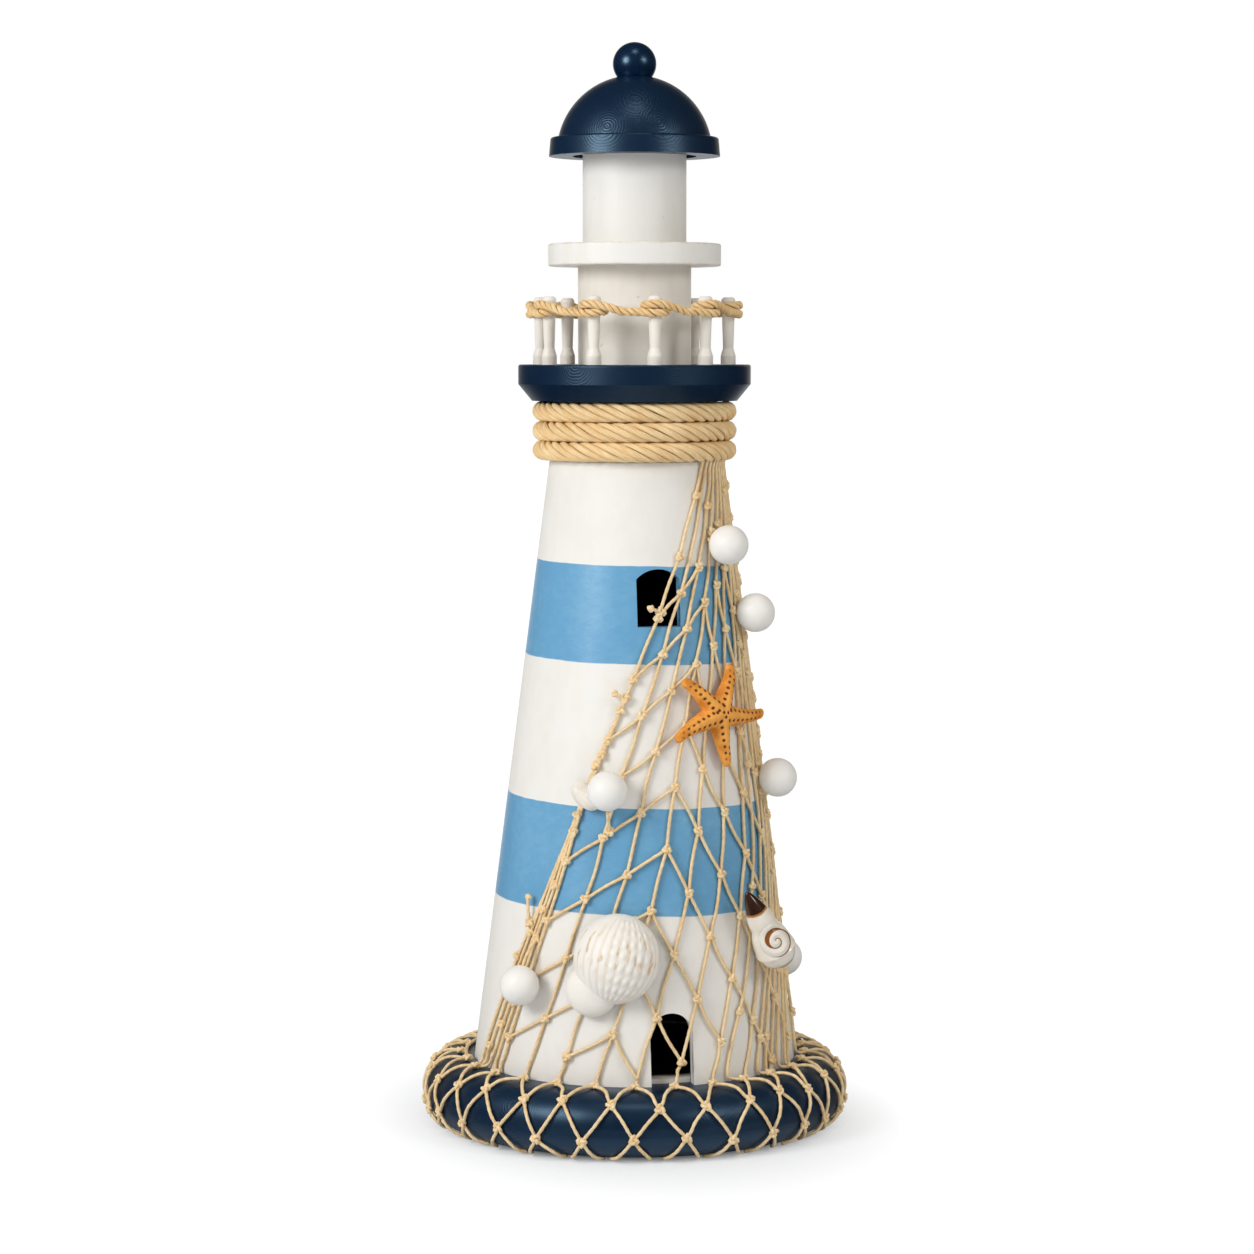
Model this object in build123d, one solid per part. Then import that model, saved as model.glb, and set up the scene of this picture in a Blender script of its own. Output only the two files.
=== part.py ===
from build123d import *
import math
import os

# A painted wooden lighthouse, in millimetres. It stands on z = 0 with its axis on the origin.
# The door and the window face -Y. An azimuth is in degrees from the door, positive towards +X.

# Base
pad_thickness = 1.0
pad_inset = 19.2
base_height = 23.0
base_ledge = 17.7
base_top_round = 11.5
base_edge_band = 3.0
screw_count = 3
screw_circle_radius = 30.0
screw_shank_diameter = 4.0
screw_head_diameter = 8.0
screw_bite = 4.0

# Tower
tower_foot_radius = 60.0
tower_shoulder_radius = 31.5
taper_height = 222.7
tower_wall = 5.5
floor_thickness = 6.0
floor_step = 1.5
door_width = 15.8
door_height = 25.9
window_width = 16.0
window_height = 20.8
window_arch_rise = 3.6
window_top_drop = 38.2
cap_plug_thickness = 12.0
cap_plug_wall = 4.6

# Neck rope
neck_step = 0.8
neck_rope_diameter = 6.6
neck_rope_gap = 0.55
neck_rope_passes = 3
neck_rope_margin = 0.6
neck_rope_end_azimuth = 117.0
neck_climb_azimuth = 130.0
neck_rope_turn = -13.5

# Gallery
gallery_radius = 43.0
gallery_rim_height = 7.2
gallery_chamfer_height = 6.1
gallery_chamfer_width = 5.0
baluster_inset = 7.6
baluster_height = 24.8
baluster_foot_radius = 2.8
baluster_waist_radius = 1.95
baluster_shaft_radius = 2.5
baluster_knob_radius = 2.6
baluster_foot_height = 3.2
baluster_waist_height = 6.0
baluster_knob_height = 2.2
baluster_top_share = 0.6
tenon_radius = 1.5
tenon_length = 4.0
baluster_azimuths = (-148, -113, -75, -38, -1.5, 33, 87, 127, 168)
rail_rope_diameter = 2.4
rail_rope_height = 17.8
rail_rope_gap = 1.0
rail_sag = 0.6
rail_end_gap = 3.2

# Rooms and decks above the gallery
watch_room_radius = 20.9
watch_room_height = 36.1
upper_deck_radius = 31.9
upper_deck_thickness = 8.2
lantern_radius = 19.1
lantern_height = 37.0
gallery_dowel_radius = 5.0
lantern_dowel_radius = 4.0
dowel_bite = 14.0

# Roof
recess_gap = 3.7
recess_depth = 5.0
rim_height = 6.8
rim_draft = 0.6
rim_ledge = 2.8
dome_radius = 28.7
dome_centre_rise = 0.9
ball_radius = 8.0
ball_seat_radius = 6.4
ball_dowel_radius = 2.0
ball_dowel_bite = 7.0
peg_radius = 5.0
peg_bite = 10.0
peg_reach = 16.0
peg_clearance = 0.2

# Net
twine_diameter = 1.4
net_knee_share = 0.377
net_gather_azimuth = 57.0
net_gather_step = 3.1
net_knee_azimuth = -0.2
net_knee_step = 13.6
net_drift = 0.32
net_gather_power = 1.28
net_first_column = -2
net_last_column = 9
net_edge_columns = 3
net_edge_first_step = 9.0
net_edge_step = 2.6
net_edge_drift = 0.10
mesh_bar = 21.9
mesh_left_step = 9.0
mesh_right_step = 16.0
net_peak_share = 0.379
base_mesh_count = 30
base_mesh_rows = 1.75
base_net_end = 50.0

# Ornaments: azimuth and share of the taper's height
float_radius = 7.2
float_places = ((37.5, 0.861), (58.3, 0.746), (61.1, 0.472), (-23.7, 0.472), (-54.0, 0.152), (104.6, 0.134))
starfish_place = (26.4, 0.5895)
starfish_arms = 5
starfish_reach = 18.5
starfish_waist = 6.0
starfish_thickness = 4.2
starfish_turn = -6.0
cockle_place = (-19.9, 0.205)
cockle_width = 31.0
cockle_length = 32.0
cockle_crown = 11.0
cockle_turn = -18.0
clam_place = (-28.4, 0.155)
clam_width = 19.0
clam_crown = 6.0
spiral_place = (35.0, 0.239)
spiral_length = 32.5
spiral_radius = 7.4
spiral_shoulder_radius = 5.6
spiral_tip_radius = 2.2
spiral_turn = 31.0
small_shell_place = (-34.0, 0.463)
small_shell_width = 9.5
small_shell_length = 12.5
small_shell_crown = 3.6
small_shell_turn = 60.0

# Clearances and edge rounding
glue_gap = 0.15
dowel_clearance = 0.1
rest_gap = 0.25
edge_round = 0.8

# Levels and radii that follow from the sizes above
base_top = pad_thickness + base_height
base_radius = tower_foot_radius + base_ledge
base_foot_round = base_height - base_top_round - base_edge_band
shoulder = base_top + taper_height
neck_rope_pitch = neck_rope_diameter + neck_rope_gap
neck_height = neck_rope_passes * neck_rope_pitch + neck_rope_margin
tower_top = shoulder + neck_height
neck_radius = tower_shoulder_radius - neck_step
cap_plug_radius = neck_radius - cap_plug_wall
gallery_bottom_radius = gallery_radius - gallery_chamfer_width
deck_top = tower_top + gallery_chamfer_height + gallery_rim_height
watch_room_top = deck_top + watch_room_height
upper_deck_top = watch_room_top + upper_deck_thickness
lantern_top = upper_deck_top + lantern_height
rim_bottom = lantern_top - recess_depth
rim_radius = dome_radius + rim_ledge
dome_centre = rim_bottom + dome_centre_rise
ball_seat = dome_centre + math.sqrt(dome_radius ** 2 - ball_seat_radius ** 2)
ball_centre = ball_seat + math.sqrt(ball_radius ** 2 - ball_seat_radius ** 2)
floor_bottom = base_top + floor_step - floor_thickness
post_circle_radius = gallery_radius - baluster_inset
taper_slope = (tower_foot_radius - tower_shoulder_radius) / taper_height
inner_twine_lift = glue_gap + twine_diameter / 2
outer_twine_lift = inner_twine_lift + twine_diameter + glue_gap
net_knee = base_top + net_knee_share * taper_height
net_peak = base_top + net_peak_share * taper_height
net_top = shoulder - twine_diameter
net_foot = base_top + twine_diameter


def tower_radius(height):
    return tower_foot_radius - taper_slope * (height - base_top)


def around(azimuth, radius, height):
    angle = math.radians(azimuth)
    return Vector(radius * math.sin(angle), -radius * math.cos(angle), height)


def tower_normal(azimuth):
    level = around(azimuth, 1, 0)
    return Vector(level.X, level.Y, taper_slope).normalized()


def on_tower(azimuth, height, lift):
    return around(azimuth, tower_radius(height), height) + tower_normal(azimuth) * lift


def tower_place(azimuth, height, lift, turn):
    # A place on the tower's skin: local Z points out, and local Y up the slope before the turn.
    level_x = around(azimuth + 90, 1, 0)
    plane = Plane(origin=on_tower(azimuth, height, lift), x_dir=level_x, z_dir=tower_normal(azimuth))
    return plane.location * Rot(0, 0, turn)


def disc(radius, bottom, top):
    return Pos(0, 0, (bottom + top) / 2) * Cylinder(radius, top - bottom)


def spun(points):
    return revolve(Plane.XZ * make_face(Polyline(*points, close=True)), Axis.Z)


# Cords: a tube along arcs that pass through stations of point and direction

def tangent_piece(start, direction, end):
    chord = end - start
    if direction.cross(chord).length < 1e-6 * chord.length:
        return Edge.make_line(start, end)
    return Edge.make_tangent_arc(start, direction, end)


def biarc(start, start_direction, end, end_direction):
    chord = end - start
    along = chord.dot(start_direction + end_direction)
    spread = 2 * (1 - start_direction.dot(end_direction))
    if spread < 1e-9:
        reach = chord.dot(chord) / (2 * along)
    else:
        reach = (math.sqrt(along ** 2 + spread * chord.dot(chord)) - along) / spread
    first_pole = start + start_direction * reach
    last_pole = end - end_direction * reach
    middle = (first_pole + last_pole) / 2
    middle_direction = (last_pole - first_pole).normalized()
    return [tangent_piece(start, start_direction, middle), tangent_piece(middle, middle_direction, end)]


def cord_path(stations):
    edges = []
    for (start, start_direction), (end, end_direction) in zip(stations, stations[1:]):
        edges += biarc(start, start_direction, end, end_direction)
    return edges


def straight_ends(stations, length):
    first, first_direction = stations[0]
    last, last_direction = stations[-1]
    head = (first - first_direction * length, first_direction)
    tail = (last + last_direction * length, last_direction)
    return [head] + stations + [tail]


def cord(stations, diameter):
    start, direction = stations[0]
    section = Plane(origin=start, z_dir=direction) * Circle(diameter / 2)
    return sweep(section, path=Wire(cord_path(stations))).solid()


def least_gap(stations, diameter):
    samples = []
    travelled = 0
    for edge in cord_path(stations):
        count = max(2, math.ceil(edge.length / (diameter / 3)))
        samples += [(travelled + edge.length * i / count, edge @ (i / count)) for i in range(count)]
        travelled += edge.length
    gap = travelled
    for i, (first_place, first_point) in enumerate(samples):
        for second_place, second_point in samples[i + 1:]:
            if second_place - first_place > 3 * diameter:
                gap = min(gap, (second_point - first_point).length - diameter)
    return gap


# Base, floor and tower

def base_profile(lift):
    # Centres and radii of the two rounds on the base's rim: the top edge and the foot.
    top_centre = (base_radius - base_top_round, base_top - base_top_round)
    foot_centre = (base_radius - base_foot_round, pad_thickness + base_foot_round)
    return top_centre, base_top_round + lift, foot_centre, base_foot_round + lift


def make_felt_pad():
    return disc(base_radius - pad_inset, 0, pad_thickness)


def make_base_disc():
    body = disc(base_radius, pad_thickness, base_top)
    top_edge = body.edges().filter_by(GeomType.CIRCLE).sort_by(Axis.Z)[-1]
    body = fillet(top_edge, base_top_round)
    foot_edge = body.edges().filter_by(GeomType.CIRCLE).sort_by(Axis.Z)[0]
    body = fillet(foot_edge, base_foot_round)
    body -= disc(tower_foot_radius - tower_wall, floor_bottom, base_top)
    for x, y in screw_points():
        body -= Pos(x, y, 0) * screw_shape(dowel_clearance, pad_thickness, floor_bottom)
    return body


def screw_points():
    turns = [360 * i / screw_count for i in range(screw_count)]
    return [(screw_circle_radius * math.cos(math.radians(t)), screw_circle_radius * math.sin(math.radians(t)))
            for t in turns]


def screw_shape(clearance, bottom, top):
    head = screw_head_diameter / 2 + clearance
    shank = screw_shank_diameter / 2 + clearance
    neck = bottom + head - shank
    return spun([(0, bottom), (head, bottom), (shank, neck), (shank, top), (0, top)])


def make_base_screws():
    screw = screw_shape(0, pad_thickness, floor_bottom + screw_bite)
    return Compound(children=[Pos(x, y, 0) * screw for x, y in screw_points()])


def make_tower_floor():
    inside = tower_foot_radius - tower_wall - glue_gap
    body = disc(inside - taper_slope * floor_step, floor_bottom, base_top + floor_step)
    pilot = screw_shank_diameter / 2 + dowel_clearance
    for x, y in screw_points():
        body -= Pos(x, y, 0) * disc(pilot, floor_bottom, floor_bottom + screw_bite)
    return body


def arched_cut(width, bottom, top, rise):
    half = width / 2
    spring = top - rise
    outline = Polyline((-half, spring), (-half, bottom), (half, bottom), (half, spring))
    arch = ThreePointArc((half, spring), (0, top), (-half, spring))
    return extrude(Plane.XZ * make_face([outline, arch]), tower_foot_radius)


def make_tower_shell():
    inner_foot = tower_foot_radius - tower_wall
    plug_seat = tower_top - cap_plug_thickness
    inner_top = tower_radius(plug_seat) - tower_wall
    wall = [(inner_foot, base_top), (tower_foot_radius, base_top), (tower_shoulder_radius, shoulder),
            (neck_radius, shoulder), (neck_radius, tower_top), (cap_plug_radius, tower_top),
            (cap_plug_radius, plug_seat), (inner_top, plug_seat)]
    body = spun(wall)
    body -= arched_cut(door_width, base_top, base_top + door_height, door_width / 2)
    window_top = shoulder - window_top_drop
    body -= arched_cut(window_width, window_top - window_height, window_top, window_arch_rise)
    return body


def make_tower_cap_plug():
    body = disc(cap_plug_radius - glue_gap, tower_top - cap_plug_thickness, tower_top)
    return body - disc(gallery_dowel_radius + dowel_clearance, tower_top - cap_plug_thickness, tower_top)


# Neck rope: level passes round the front, each climbing one pitch across the back

def neck_rope_stations():
    centre_radius = neck_radius + rest_gap + neck_rope_diameter / 2
    first_level = shoulder + (neck_rope_margin + neck_rope_pitch) / 2
    back_turn = 360 - 2 * neck_climb_azimuth
    climb_rate = 1.5 * neck_rope_pitch / (math.radians(back_turn) * centre_radius)
    front = (-neck_climb_azimuth, -neck_climb_azimuth / 2, 0, neck_climb_azimuth / 2, neck_climb_azimuth)
    stations = []
    for turn in range(neck_rope_passes):
        level = first_level + turn * neck_rope_pitch
        azimuths = list(front)
        if turn == 0:
            azimuths[0] = -neck_rope_end_azimuth
        if turn == neck_rope_passes - 1:
            azimuths[-1] = neck_rope_end_azimuth
        for azimuth in azimuths:
            direction = around(azimuth + neck_rope_turn + 90, 1, 0)
            stations.append((around(azimuth + neck_rope_turn, centre_radius, level), direction))
        if turn < neck_rope_passes - 1:
            direction = around(180 + neck_rope_turn + 90, 1, climb_rate).normalized()
            back = around(180 + neck_rope_turn, centre_radius, level + neck_rope_pitch / 2)
            stations.append((back, direction))
    return straight_ends(stations, neck_rope_diameter)


# Gallery deck, balusters and handrail rope

def make_gallery_deck():
    rim_bottom_level = tower_top + gallery_chamfer_height
    body = spun([(0, tower_top), (gallery_bottom_radius, tower_top), (gallery_radius, rim_bottom_level),
                 (gallery_radius, deck_top), (0, deck_top)])
    rim_edge = body.edges().filter_by(GeomType.CIRCLE).group_by(Axis.Z)[-1].sort_by(SortBy.RADIUS)[-1]
    body = fillet(rim_edge, edge_round)
    body -= disc(gallery_dowel_radius + dowel_clearance, tower_top, deck_top)
    hole_bottom = deck_top - tenon_length - dowel_clearance
    for azimuth in baluster_azimuths:
        place = around(azimuth, post_circle_radius, 0)
        body -= Pos(place) * disc(tenon_radius + dowel_clearance, hole_bottom, deck_top)
    return body


def make_baluster(azimuth):
    foot = deck_top
    top = foot + baluster_height
    waist = foot + baluster_waist_height
    knob = top - baluster_knob_height
    outline = Polyline((0, foot - tenon_length), (tenon_radius, foot - tenon_length), (tenon_radius, foot),
                       (baluster_foot_radius, foot), (baluster_foot_radius, foot + baluster_foot_height),
                       (baluster_waist_radius, waist))
    shaft = Line((baluster_waist_radius, waist), (baluster_shaft_radius, knob))
    crown = ThreePointArc((baluster_shaft_radius, knob),
                          (baluster_knob_radius, knob + baluster_knob_height / 2),
                          (baluster_knob_radius * baluster_top_share, top))
    closing = Polyline((baluster_knob_radius * baluster_top_share, top), (0, top), (0, foot - tenon_length))
    body = revolve(Plane.XZ * make_face([outline, shaft, crown, closing]), Axis.Z)
    return Pos(around(azimuth, post_circle_radius, 0)) * body


def rail_rope_stations():
    # The rope takes one round turn on every baluster and hangs a little between them.
    turn_radius = baluster_knob_radius + rest_gap + rail_rope_diameter / 2
    low = deck_top + rail_rope_height
    rise = rail_rope_diameter + rail_rope_gap
    posts = [around(a, post_circle_radius, 0) for a in baluster_azimuths]
    count = len(posts)
    headings = [(posts[(i + 1) % count] - posts[i]).normalized() for i in range(count)]
    stations = []
    for i in range(count):
        arriving = math.degrees(math.atan2(headings[i - 1].Y, headings[i - 1].X))
        leaving = math.degrees(math.atan2(headings[i].Y, headings[i].X))
        wrap = 360 + (leaving - arriving) % 360
        quarters = 4
        for quarter in range(quarters + 1):
            part = quarter / quarters
            heading = math.radians(arriving + wrap * part)
            side = Vector(math.sin(heading), -math.cos(heading), 0)
            climb = rise * part ** 2 * (3 - 2 * part)
            climb_rate = 6 * rise * part * (1 - part) / (math.radians(wrap) * turn_radius)
            point = posts[i] + side * turn_radius + Vector(0, 0, low + climb)
            stations.append((point, Vector(math.cos(heading), math.sin(heading), climb_rate).normalized()))
        side = Vector(headings[i].Y, -headings[i].X, 0)
        middle = (posts[i] + posts[(i + 1) % count]) / 2 + side * turn_radius
        stations.append((middle + Vector(0, 0, low + rise / 2 - rail_sag), headings[i]))
    meeting = stations[0][0] - headings[-1] * (2 * rail_rope_diameter + rail_end_gap)
    stations.append((meeting, headings[-1]))
    return straight_ends(stations, rail_rope_diameter)


# Rooms, decks and the dowels that hold them in line

def make_watch_room():
    body = disc(watch_room_radius, deck_top, watch_room_top)
    body -= disc(gallery_dowel_radius + dowel_clearance, deck_top, deck_top + dowel_bite)
    return body - disc(lantern_dowel_radius + dowel_clearance, watch_room_top - dowel_bite, watch_room_top)


def make_upper_deck():
    body = disc(upper_deck_radius, watch_room_top, upper_deck_top)
    body = fillet(body.edges().filter_by(GeomType.CIRCLE), edge_round)
    return body - disc(lantern_dowel_radius + dowel_clearance, watch_room_top, upper_deck_top)


def make_lantern():
    body = disc(lantern_radius, upper_deck_top, lantern_top)
    body -= disc(lantern_dowel_radius + dowel_clearance, upper_deck_top, upper_deck_top + dowel_bite)
    return body - disc(peg_radius + peg_clearance, lantern_top - peg_reach - peg_clearance, lantern_top)


def make_gallery_dowel():
    return disc(gallery_dowel_radius, tower_top - cap_plug_thickness, deck_top + dowel_bite)


def make_lantern_dowel():
    return disc(lantern_dowel_radius, watch_room_top - dowel_bite, upper_deck_top + dowel_bite)


# Roof

def make_roof_dome():
    rim_top_radius = rim_radius - rim_draft
    rim = spun([(0, rim_bottom), (rim_radius, rim_bottom), (rim_top_radius, rim_bottom + rim_height),
                (0, rim_bottom + rim_height)])
    rim_edge = rim.edges().filter_by(GeomType.CIRCLE).sort_by(Axis.Z)[-1]
    rim = fillet(rim_edge, edge_round)
    dome = Pos(0, 0, dome_centre) * Sphere(dome_radius)
    crown = disc(dome_radius, rim_bottom + rim_height, ball_seat)
    body = rim + (dome & crown)
    body -= disc(lantern_radius + recess_gap, rim_bottom, lantern_top)
    body -= disc(peg_radius + dowel_clearance, lantern_top, lantern_top + peg_bite)
    return body - disc(ball_dowel_radius + dowel_clearance, ball_seat - ball_dowel_bite, ball_seat)


def make_roof_ball():
    ball = Pos(0, 0, ball_centre) * Sphere(ball_radius)
    ball -= disc(ball_radius, ball_centre - ball_radius, ball_seat)
    return ball - disc(ball_dowel_radius + dowel_clearance, ball_seat, ball_seat + ball_dowel_bite)


def make_ball_dowel():
    return disc(ball_dowel_radius, ball_seat - ball_dowel_bite, ball_seat + ball_dowel_bite)


def make_roof_peg():
    return disc(peg_radius, lantern_top - peg_reach, lantern_top + peg_bite)


# Net: columns run down and round the tower from the gather, and rows cross over them

def column_azimuth(column, height):
    knee = net_knee_azimuth + net_knee_step * max(column, net_first_column)
    edge = max(0, net_first_column - column)
    if edge:
        knee -= net_edge_first_step + net_edge_step * (edge - 1)
    gather = net_gather_azimuth + net_gather_step * (column - 2)
    if height >= net_knee:
        share = (height - net_knee) / (shoulder - net_knee)
        return knee + (gather - knee) * share ** net_gather_power
    return knee - (net_drift + net_edge_drift * edge) * (net_knee - height)


def net_columns():
    return range(net_first_column - net_edge_columns, net_last_column + 1)


def skin_stations(places, lift):
    points = [on_tower(azimuth, height, lift) for azimuth, height in places]
    stations = []
    for i, (azimuth, height) in enumerate(places):
        ahead = points[min(i + 1, len(points) - 1)]
        behind = points[max(i - 1, 0)]
        normal = tower_normal(azimuth)
        along = ahead - behind
        stations.append((points[i], (along - normal * along.dot(normal)).normalized()))
    return stations


def column_stations(column):
    steps = math.ceil((net_top - net_foot) / mesh_bar)
    heights = [net_top - (net_top - net_foot) * i / steps for i in range(steps + 1)]
    return skin_stations([(column_azimuth(column, h), h) for h in heights], inner_twine_lift)


def row_height(column, row):
    return net_peak + row * mesh_bar - mesh_right_step * max(0, column) - mesh_left_step * max(0, -column)


def row_runs():
    # Each row is cut where it leaves the net at the gather or at the foot.
    columns = list(net_columns())
    lowest = math.floor((net_foot - net_peak) / mesh_bar)
    highest = math.ceil((net_top - net_peak + mesh_right_step * net_last_column) / mesh_bar)
    runs = []
    for row in range(lowest, highest + 1):
        run = []
        for column in columns + [None]:
            height = row_height(column, row) if column is not None else shoulder
            if net_foot <= height <= net_top:
                run.append((column_azimuth(column, height), height))
            elif run:
                runs.append(run)
                run = []
    return [run for run in runs if len(run) > 1]


def tower_net_stations():
    columns = [column_stations(column) for column in net_columns()]
    return columns + [skin_stations(run, outer_twine_lift) for run in row_runs()]


def rim_point(azimuth, travel, lift):
    # A point on the base's rim, at a distance along its section from the foot of the tower net.
    top_centre, top_radius, foot_centre, foot_radius = base_profile(lift)
    flat = top_centre[0] - tower_foot_radius - outer_twine_lift - twine_diameter
    top_arc = base_top_round * math.pi / 2
    if travel < flat:
        return around(azimuth, top_centre[0] - flat + travel, base_top + lift)
    travel -= flat
    if travel < top_arc:
        angle = math.pi / 2 - travel / base_top_round
        return around(azimuth, top_centre[0] + top_radius * math.cos(angle),
                      top_centre[1] + top_radius * math.sin(angle))
    travel -= top_arc
    if travel < base_edge_band:
        return around(azimuth, base_radius + lift, top_centre[1] - travel)
    angle = -(travel - base_edge_band) / base_foot_round
    return around(azimuth, foot_centre[0] + foot_radius * math.cos(angle),
                  foot_centre[1] + foot_radius * math.sin(angle))


def base_net_stations():
    flat = base_radius - base_top_round - tower_foot_radius - outer_twine_lift - twine_diameter
    under = base_foot_round * math.radians(base_net_end)
    length = flat + base_top_round * math.pi / 2 + base_edge_band + under
    step = 360 / base_mesh_count
    steps = 6
    nudge = 1e-3
    cords = []
    for lean, lift in ((1, inner_twine_lift), (-1, outer_twine_lift)):
        for i in range(base_mesh_count):
            stations = []
            for j in range(steps + 1):
                travel = length * j / steps
                rate = lean * step * base_mesh_rows / length
                here = rim_point(step * i + rate * travel, travel, lift)
                before = rim_point(step * i + rate * (travel - nudge), travel - nudge, lift)
                after = rim_point(step * i + rate * (travel + nudge), travel + nudge, lift)
                stations.append((here, (after - before).normalized()))
            cords.append(stations)
    return cords


def twine_group(cords):
    return Compound(children=[cord(stations, twine_diameter) for stations in cords])


# Ornaments: each is set out along the tower's normal until it rests on the twine or on the wood

def twine_points(cords):
    points = []
    for stations in cords:
        for edge in cord_path(stations):
            count = max(2, math.ceil(edge.length / twine_diameter))
            points += [edge @ (i / count) for i in range(count)]
    return points


def place_on(share):
    return base_top + share * taper_height


def ball_lift(azimuth, share, radius, twine):
    height = place_on(share)
    normal = tower_normal(azimuth)
    foot = on_tower(azimuth, height, 0)
    reach = radius + twine_diameter / 2 + rest_gap
    lift = radius + rest_gap
    for point in twine:
        offset = point - foot
        along = offset.dot(normal)
        across = (offset - normal * along).length
        if across < reach:
            lift = max(lift, along + math.sqrt(reach ** 2 - across ** 2))
    return lift


def flat_lift(azimuth, share, radius, twine):
    normal = tower_normal(azimuth)
    foot = on_tower(azimuth, place_on(share), 0)
    lift = rest_gap
    for point in twine:
        offset = point - foot
        along = offset.dot(normal)
        if (offset - normal * along).length < radius:
            lift = max(lift, along + twine_diameter / 2 + rest_gap)
    return lift


def make_float(azimuth, share, twine):
    centre = on_tower(azimuth, place_on(share), ball_lift(azimuth, share, float_radius, twine))
    return Pos(centre) * Sphere(float_radius)


def flat_place(place, radius, twine, turn):
    azimuth, share = place
    return tower_place(azimuth, place_on(share), flat_lift(azimuth, share, radius, twine), turn)


def make_starfish(twine):
    points = []
    for i in range(starfish_arms):
        for radius, turn in ((starfish_reach, 0), (starfish_waist, 180 / starfish_arms)):
            angle = math.radians(360 * i / starfish_arms + turn)
            points.append((radius * math.cos(angle), radius * math.sin(angle)))
    outline = make_face(Polyline(*points, close=True))
    body = loft([outline, Vertex(0, 0, starfish_thickness)])
    return flat_place(starfish_place, starfish_reach, twine, starfish_turn) * body


def ellipsoid(width, length, crown):
    return scale(Sphere(1), by=(width / 2, length / 2, crown))


def domed_shell(width, length, crown):
    return ellipsoid(width, length, crown) & (Pos(0, 0, crown) * Box(2 * width, 2 * length, 2 * crown))


def make_cockle_shell(twine):
    place = flat_place(cockle_place, cockle_length / 2, twine, cockle_turn)
    return place * domed_shell(cockle_width, cockle_length, cockle_crown)


def make_clam_shell(twine):
    # The clam lies behind the cockle, which takes its room out of it.
    place = flat_place(clam_place, clam_width / 2, twine, 0)
    cockle_room = ellipsoid(cockle_width + 2 * rest_gap, cockle_length + 2 * rest_gap, cockle_crown + rest_gap)
    front = flat_place(cockle_place, cockle_length / 2, twine, cockle_turn)
    return place * domed_shell(clam_width, clam_width, clam_crown) - front * cockle_room


def make_spiral_shell(twine):
    azimuth, share = spiral_place
    half = spiral_length / 2
    belly = spiral_radius - half
    quarter = spiral_radius * math.sqrt(0.5)
    side = ThreePointArc((spiral_radius, belly), (spiral_shoulder_radius, half / 2), (spiral_tip_radius, half))
    foot = ThreePointArc((0, -half), (quarter, belly - quarter), (spiral_radius, belly))
    tip = Polyline((spiral_tip_radius, half), (0, half), (0, -half))
    body = revolve(Plane.XZ * make_face([foot, side, tip]), Axis.Z)
    lift = flat_lift(azimuth, share, half, twine) + spiral_radius
    return tower_place(azimuth, place_on(share), lift, spiral_turn) * Rot(-90, 0, 0) * body


def make_small_shell(twine):
    place = flat_place(small_shell_place, small_shell_length / 2, twine, small_shell_turn)
    return place * domed_shell(small_shell_width, small_shell_length, small_shell_crown)


os.makedirs("parts", exist_ok=True)

tower_net = tower_net_stations()
base_net = base_net_stations()
twine = twine_points(tower_net)
neck_stations = neck_rope_stations()
rail_stations = rail_rope_stations()

pieces = {
    "felt_pad": make_felt_pad(),
    "base_disc": make_base_disc(),
    "base_screws": make_base_screws(),
    "tower_floor": make_tower_floor(),
    "tower_shell": make_tower_shell(),
    "tower_cap_plug": make_tower_cap_plug(),
    "neck_rope": cord(neck_stations, neck_rope_diameter),
    "gallery_deck": make_gallery_deck(),
    "gallery_dowel": make_gallery_dowel(),
    "rail_rope": cord(rail_stations, rail_rope_diameter),
    "watch_room": make_watch_room(),
    "upper_deck": make_upper_deck(),
    "lantern_dowel": make_lantern_dowel(),
    "lantern": make_lantern(),
    "roof_dome": make_roof_dome(),
    "roof_ball": make_roof_ball(),
    "ball_dowel": make_ball_dowel(),
    "roof_peg": make_roof_peg(),
    "net_over_tower": twine_group(tower_net),
    "net_over_base": twine_group(base_net),
    "starfish": make_starfish(twine),
    "cockle_shell": make_cockle_shell(twine),
    "clam_shell": make_clam_shell(twine),
    "spiral_shell": make_spiral_shell(twine),
    "small_shell": make_small_shell(twine),
}
for number, azimuth in enumerate(baluster_azimuths, 1):
    pieces[f"baluster_{number}"] = make_baluster(azimuth)
for number, (azimuth, share) in enumerate(float_places, 1):
    pieces[f"float_{number}"] = make_float(azimuth, share, twine)

for name, shape in pieces.items():
    export_step(shape, f"parts/{name}.step")

print("neck rope least gap", round(least_gap(neck_stations, neck_rope_diameter), 3))
print("rail rope least gap", round(least_gap(rail_stations, rail_rope_diameter), 3))
print("overall height", round(ball_centre + ball_radius, 2))
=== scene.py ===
import bpy
import math
import random
from mathutils import Matrix, Vector, noise


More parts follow.
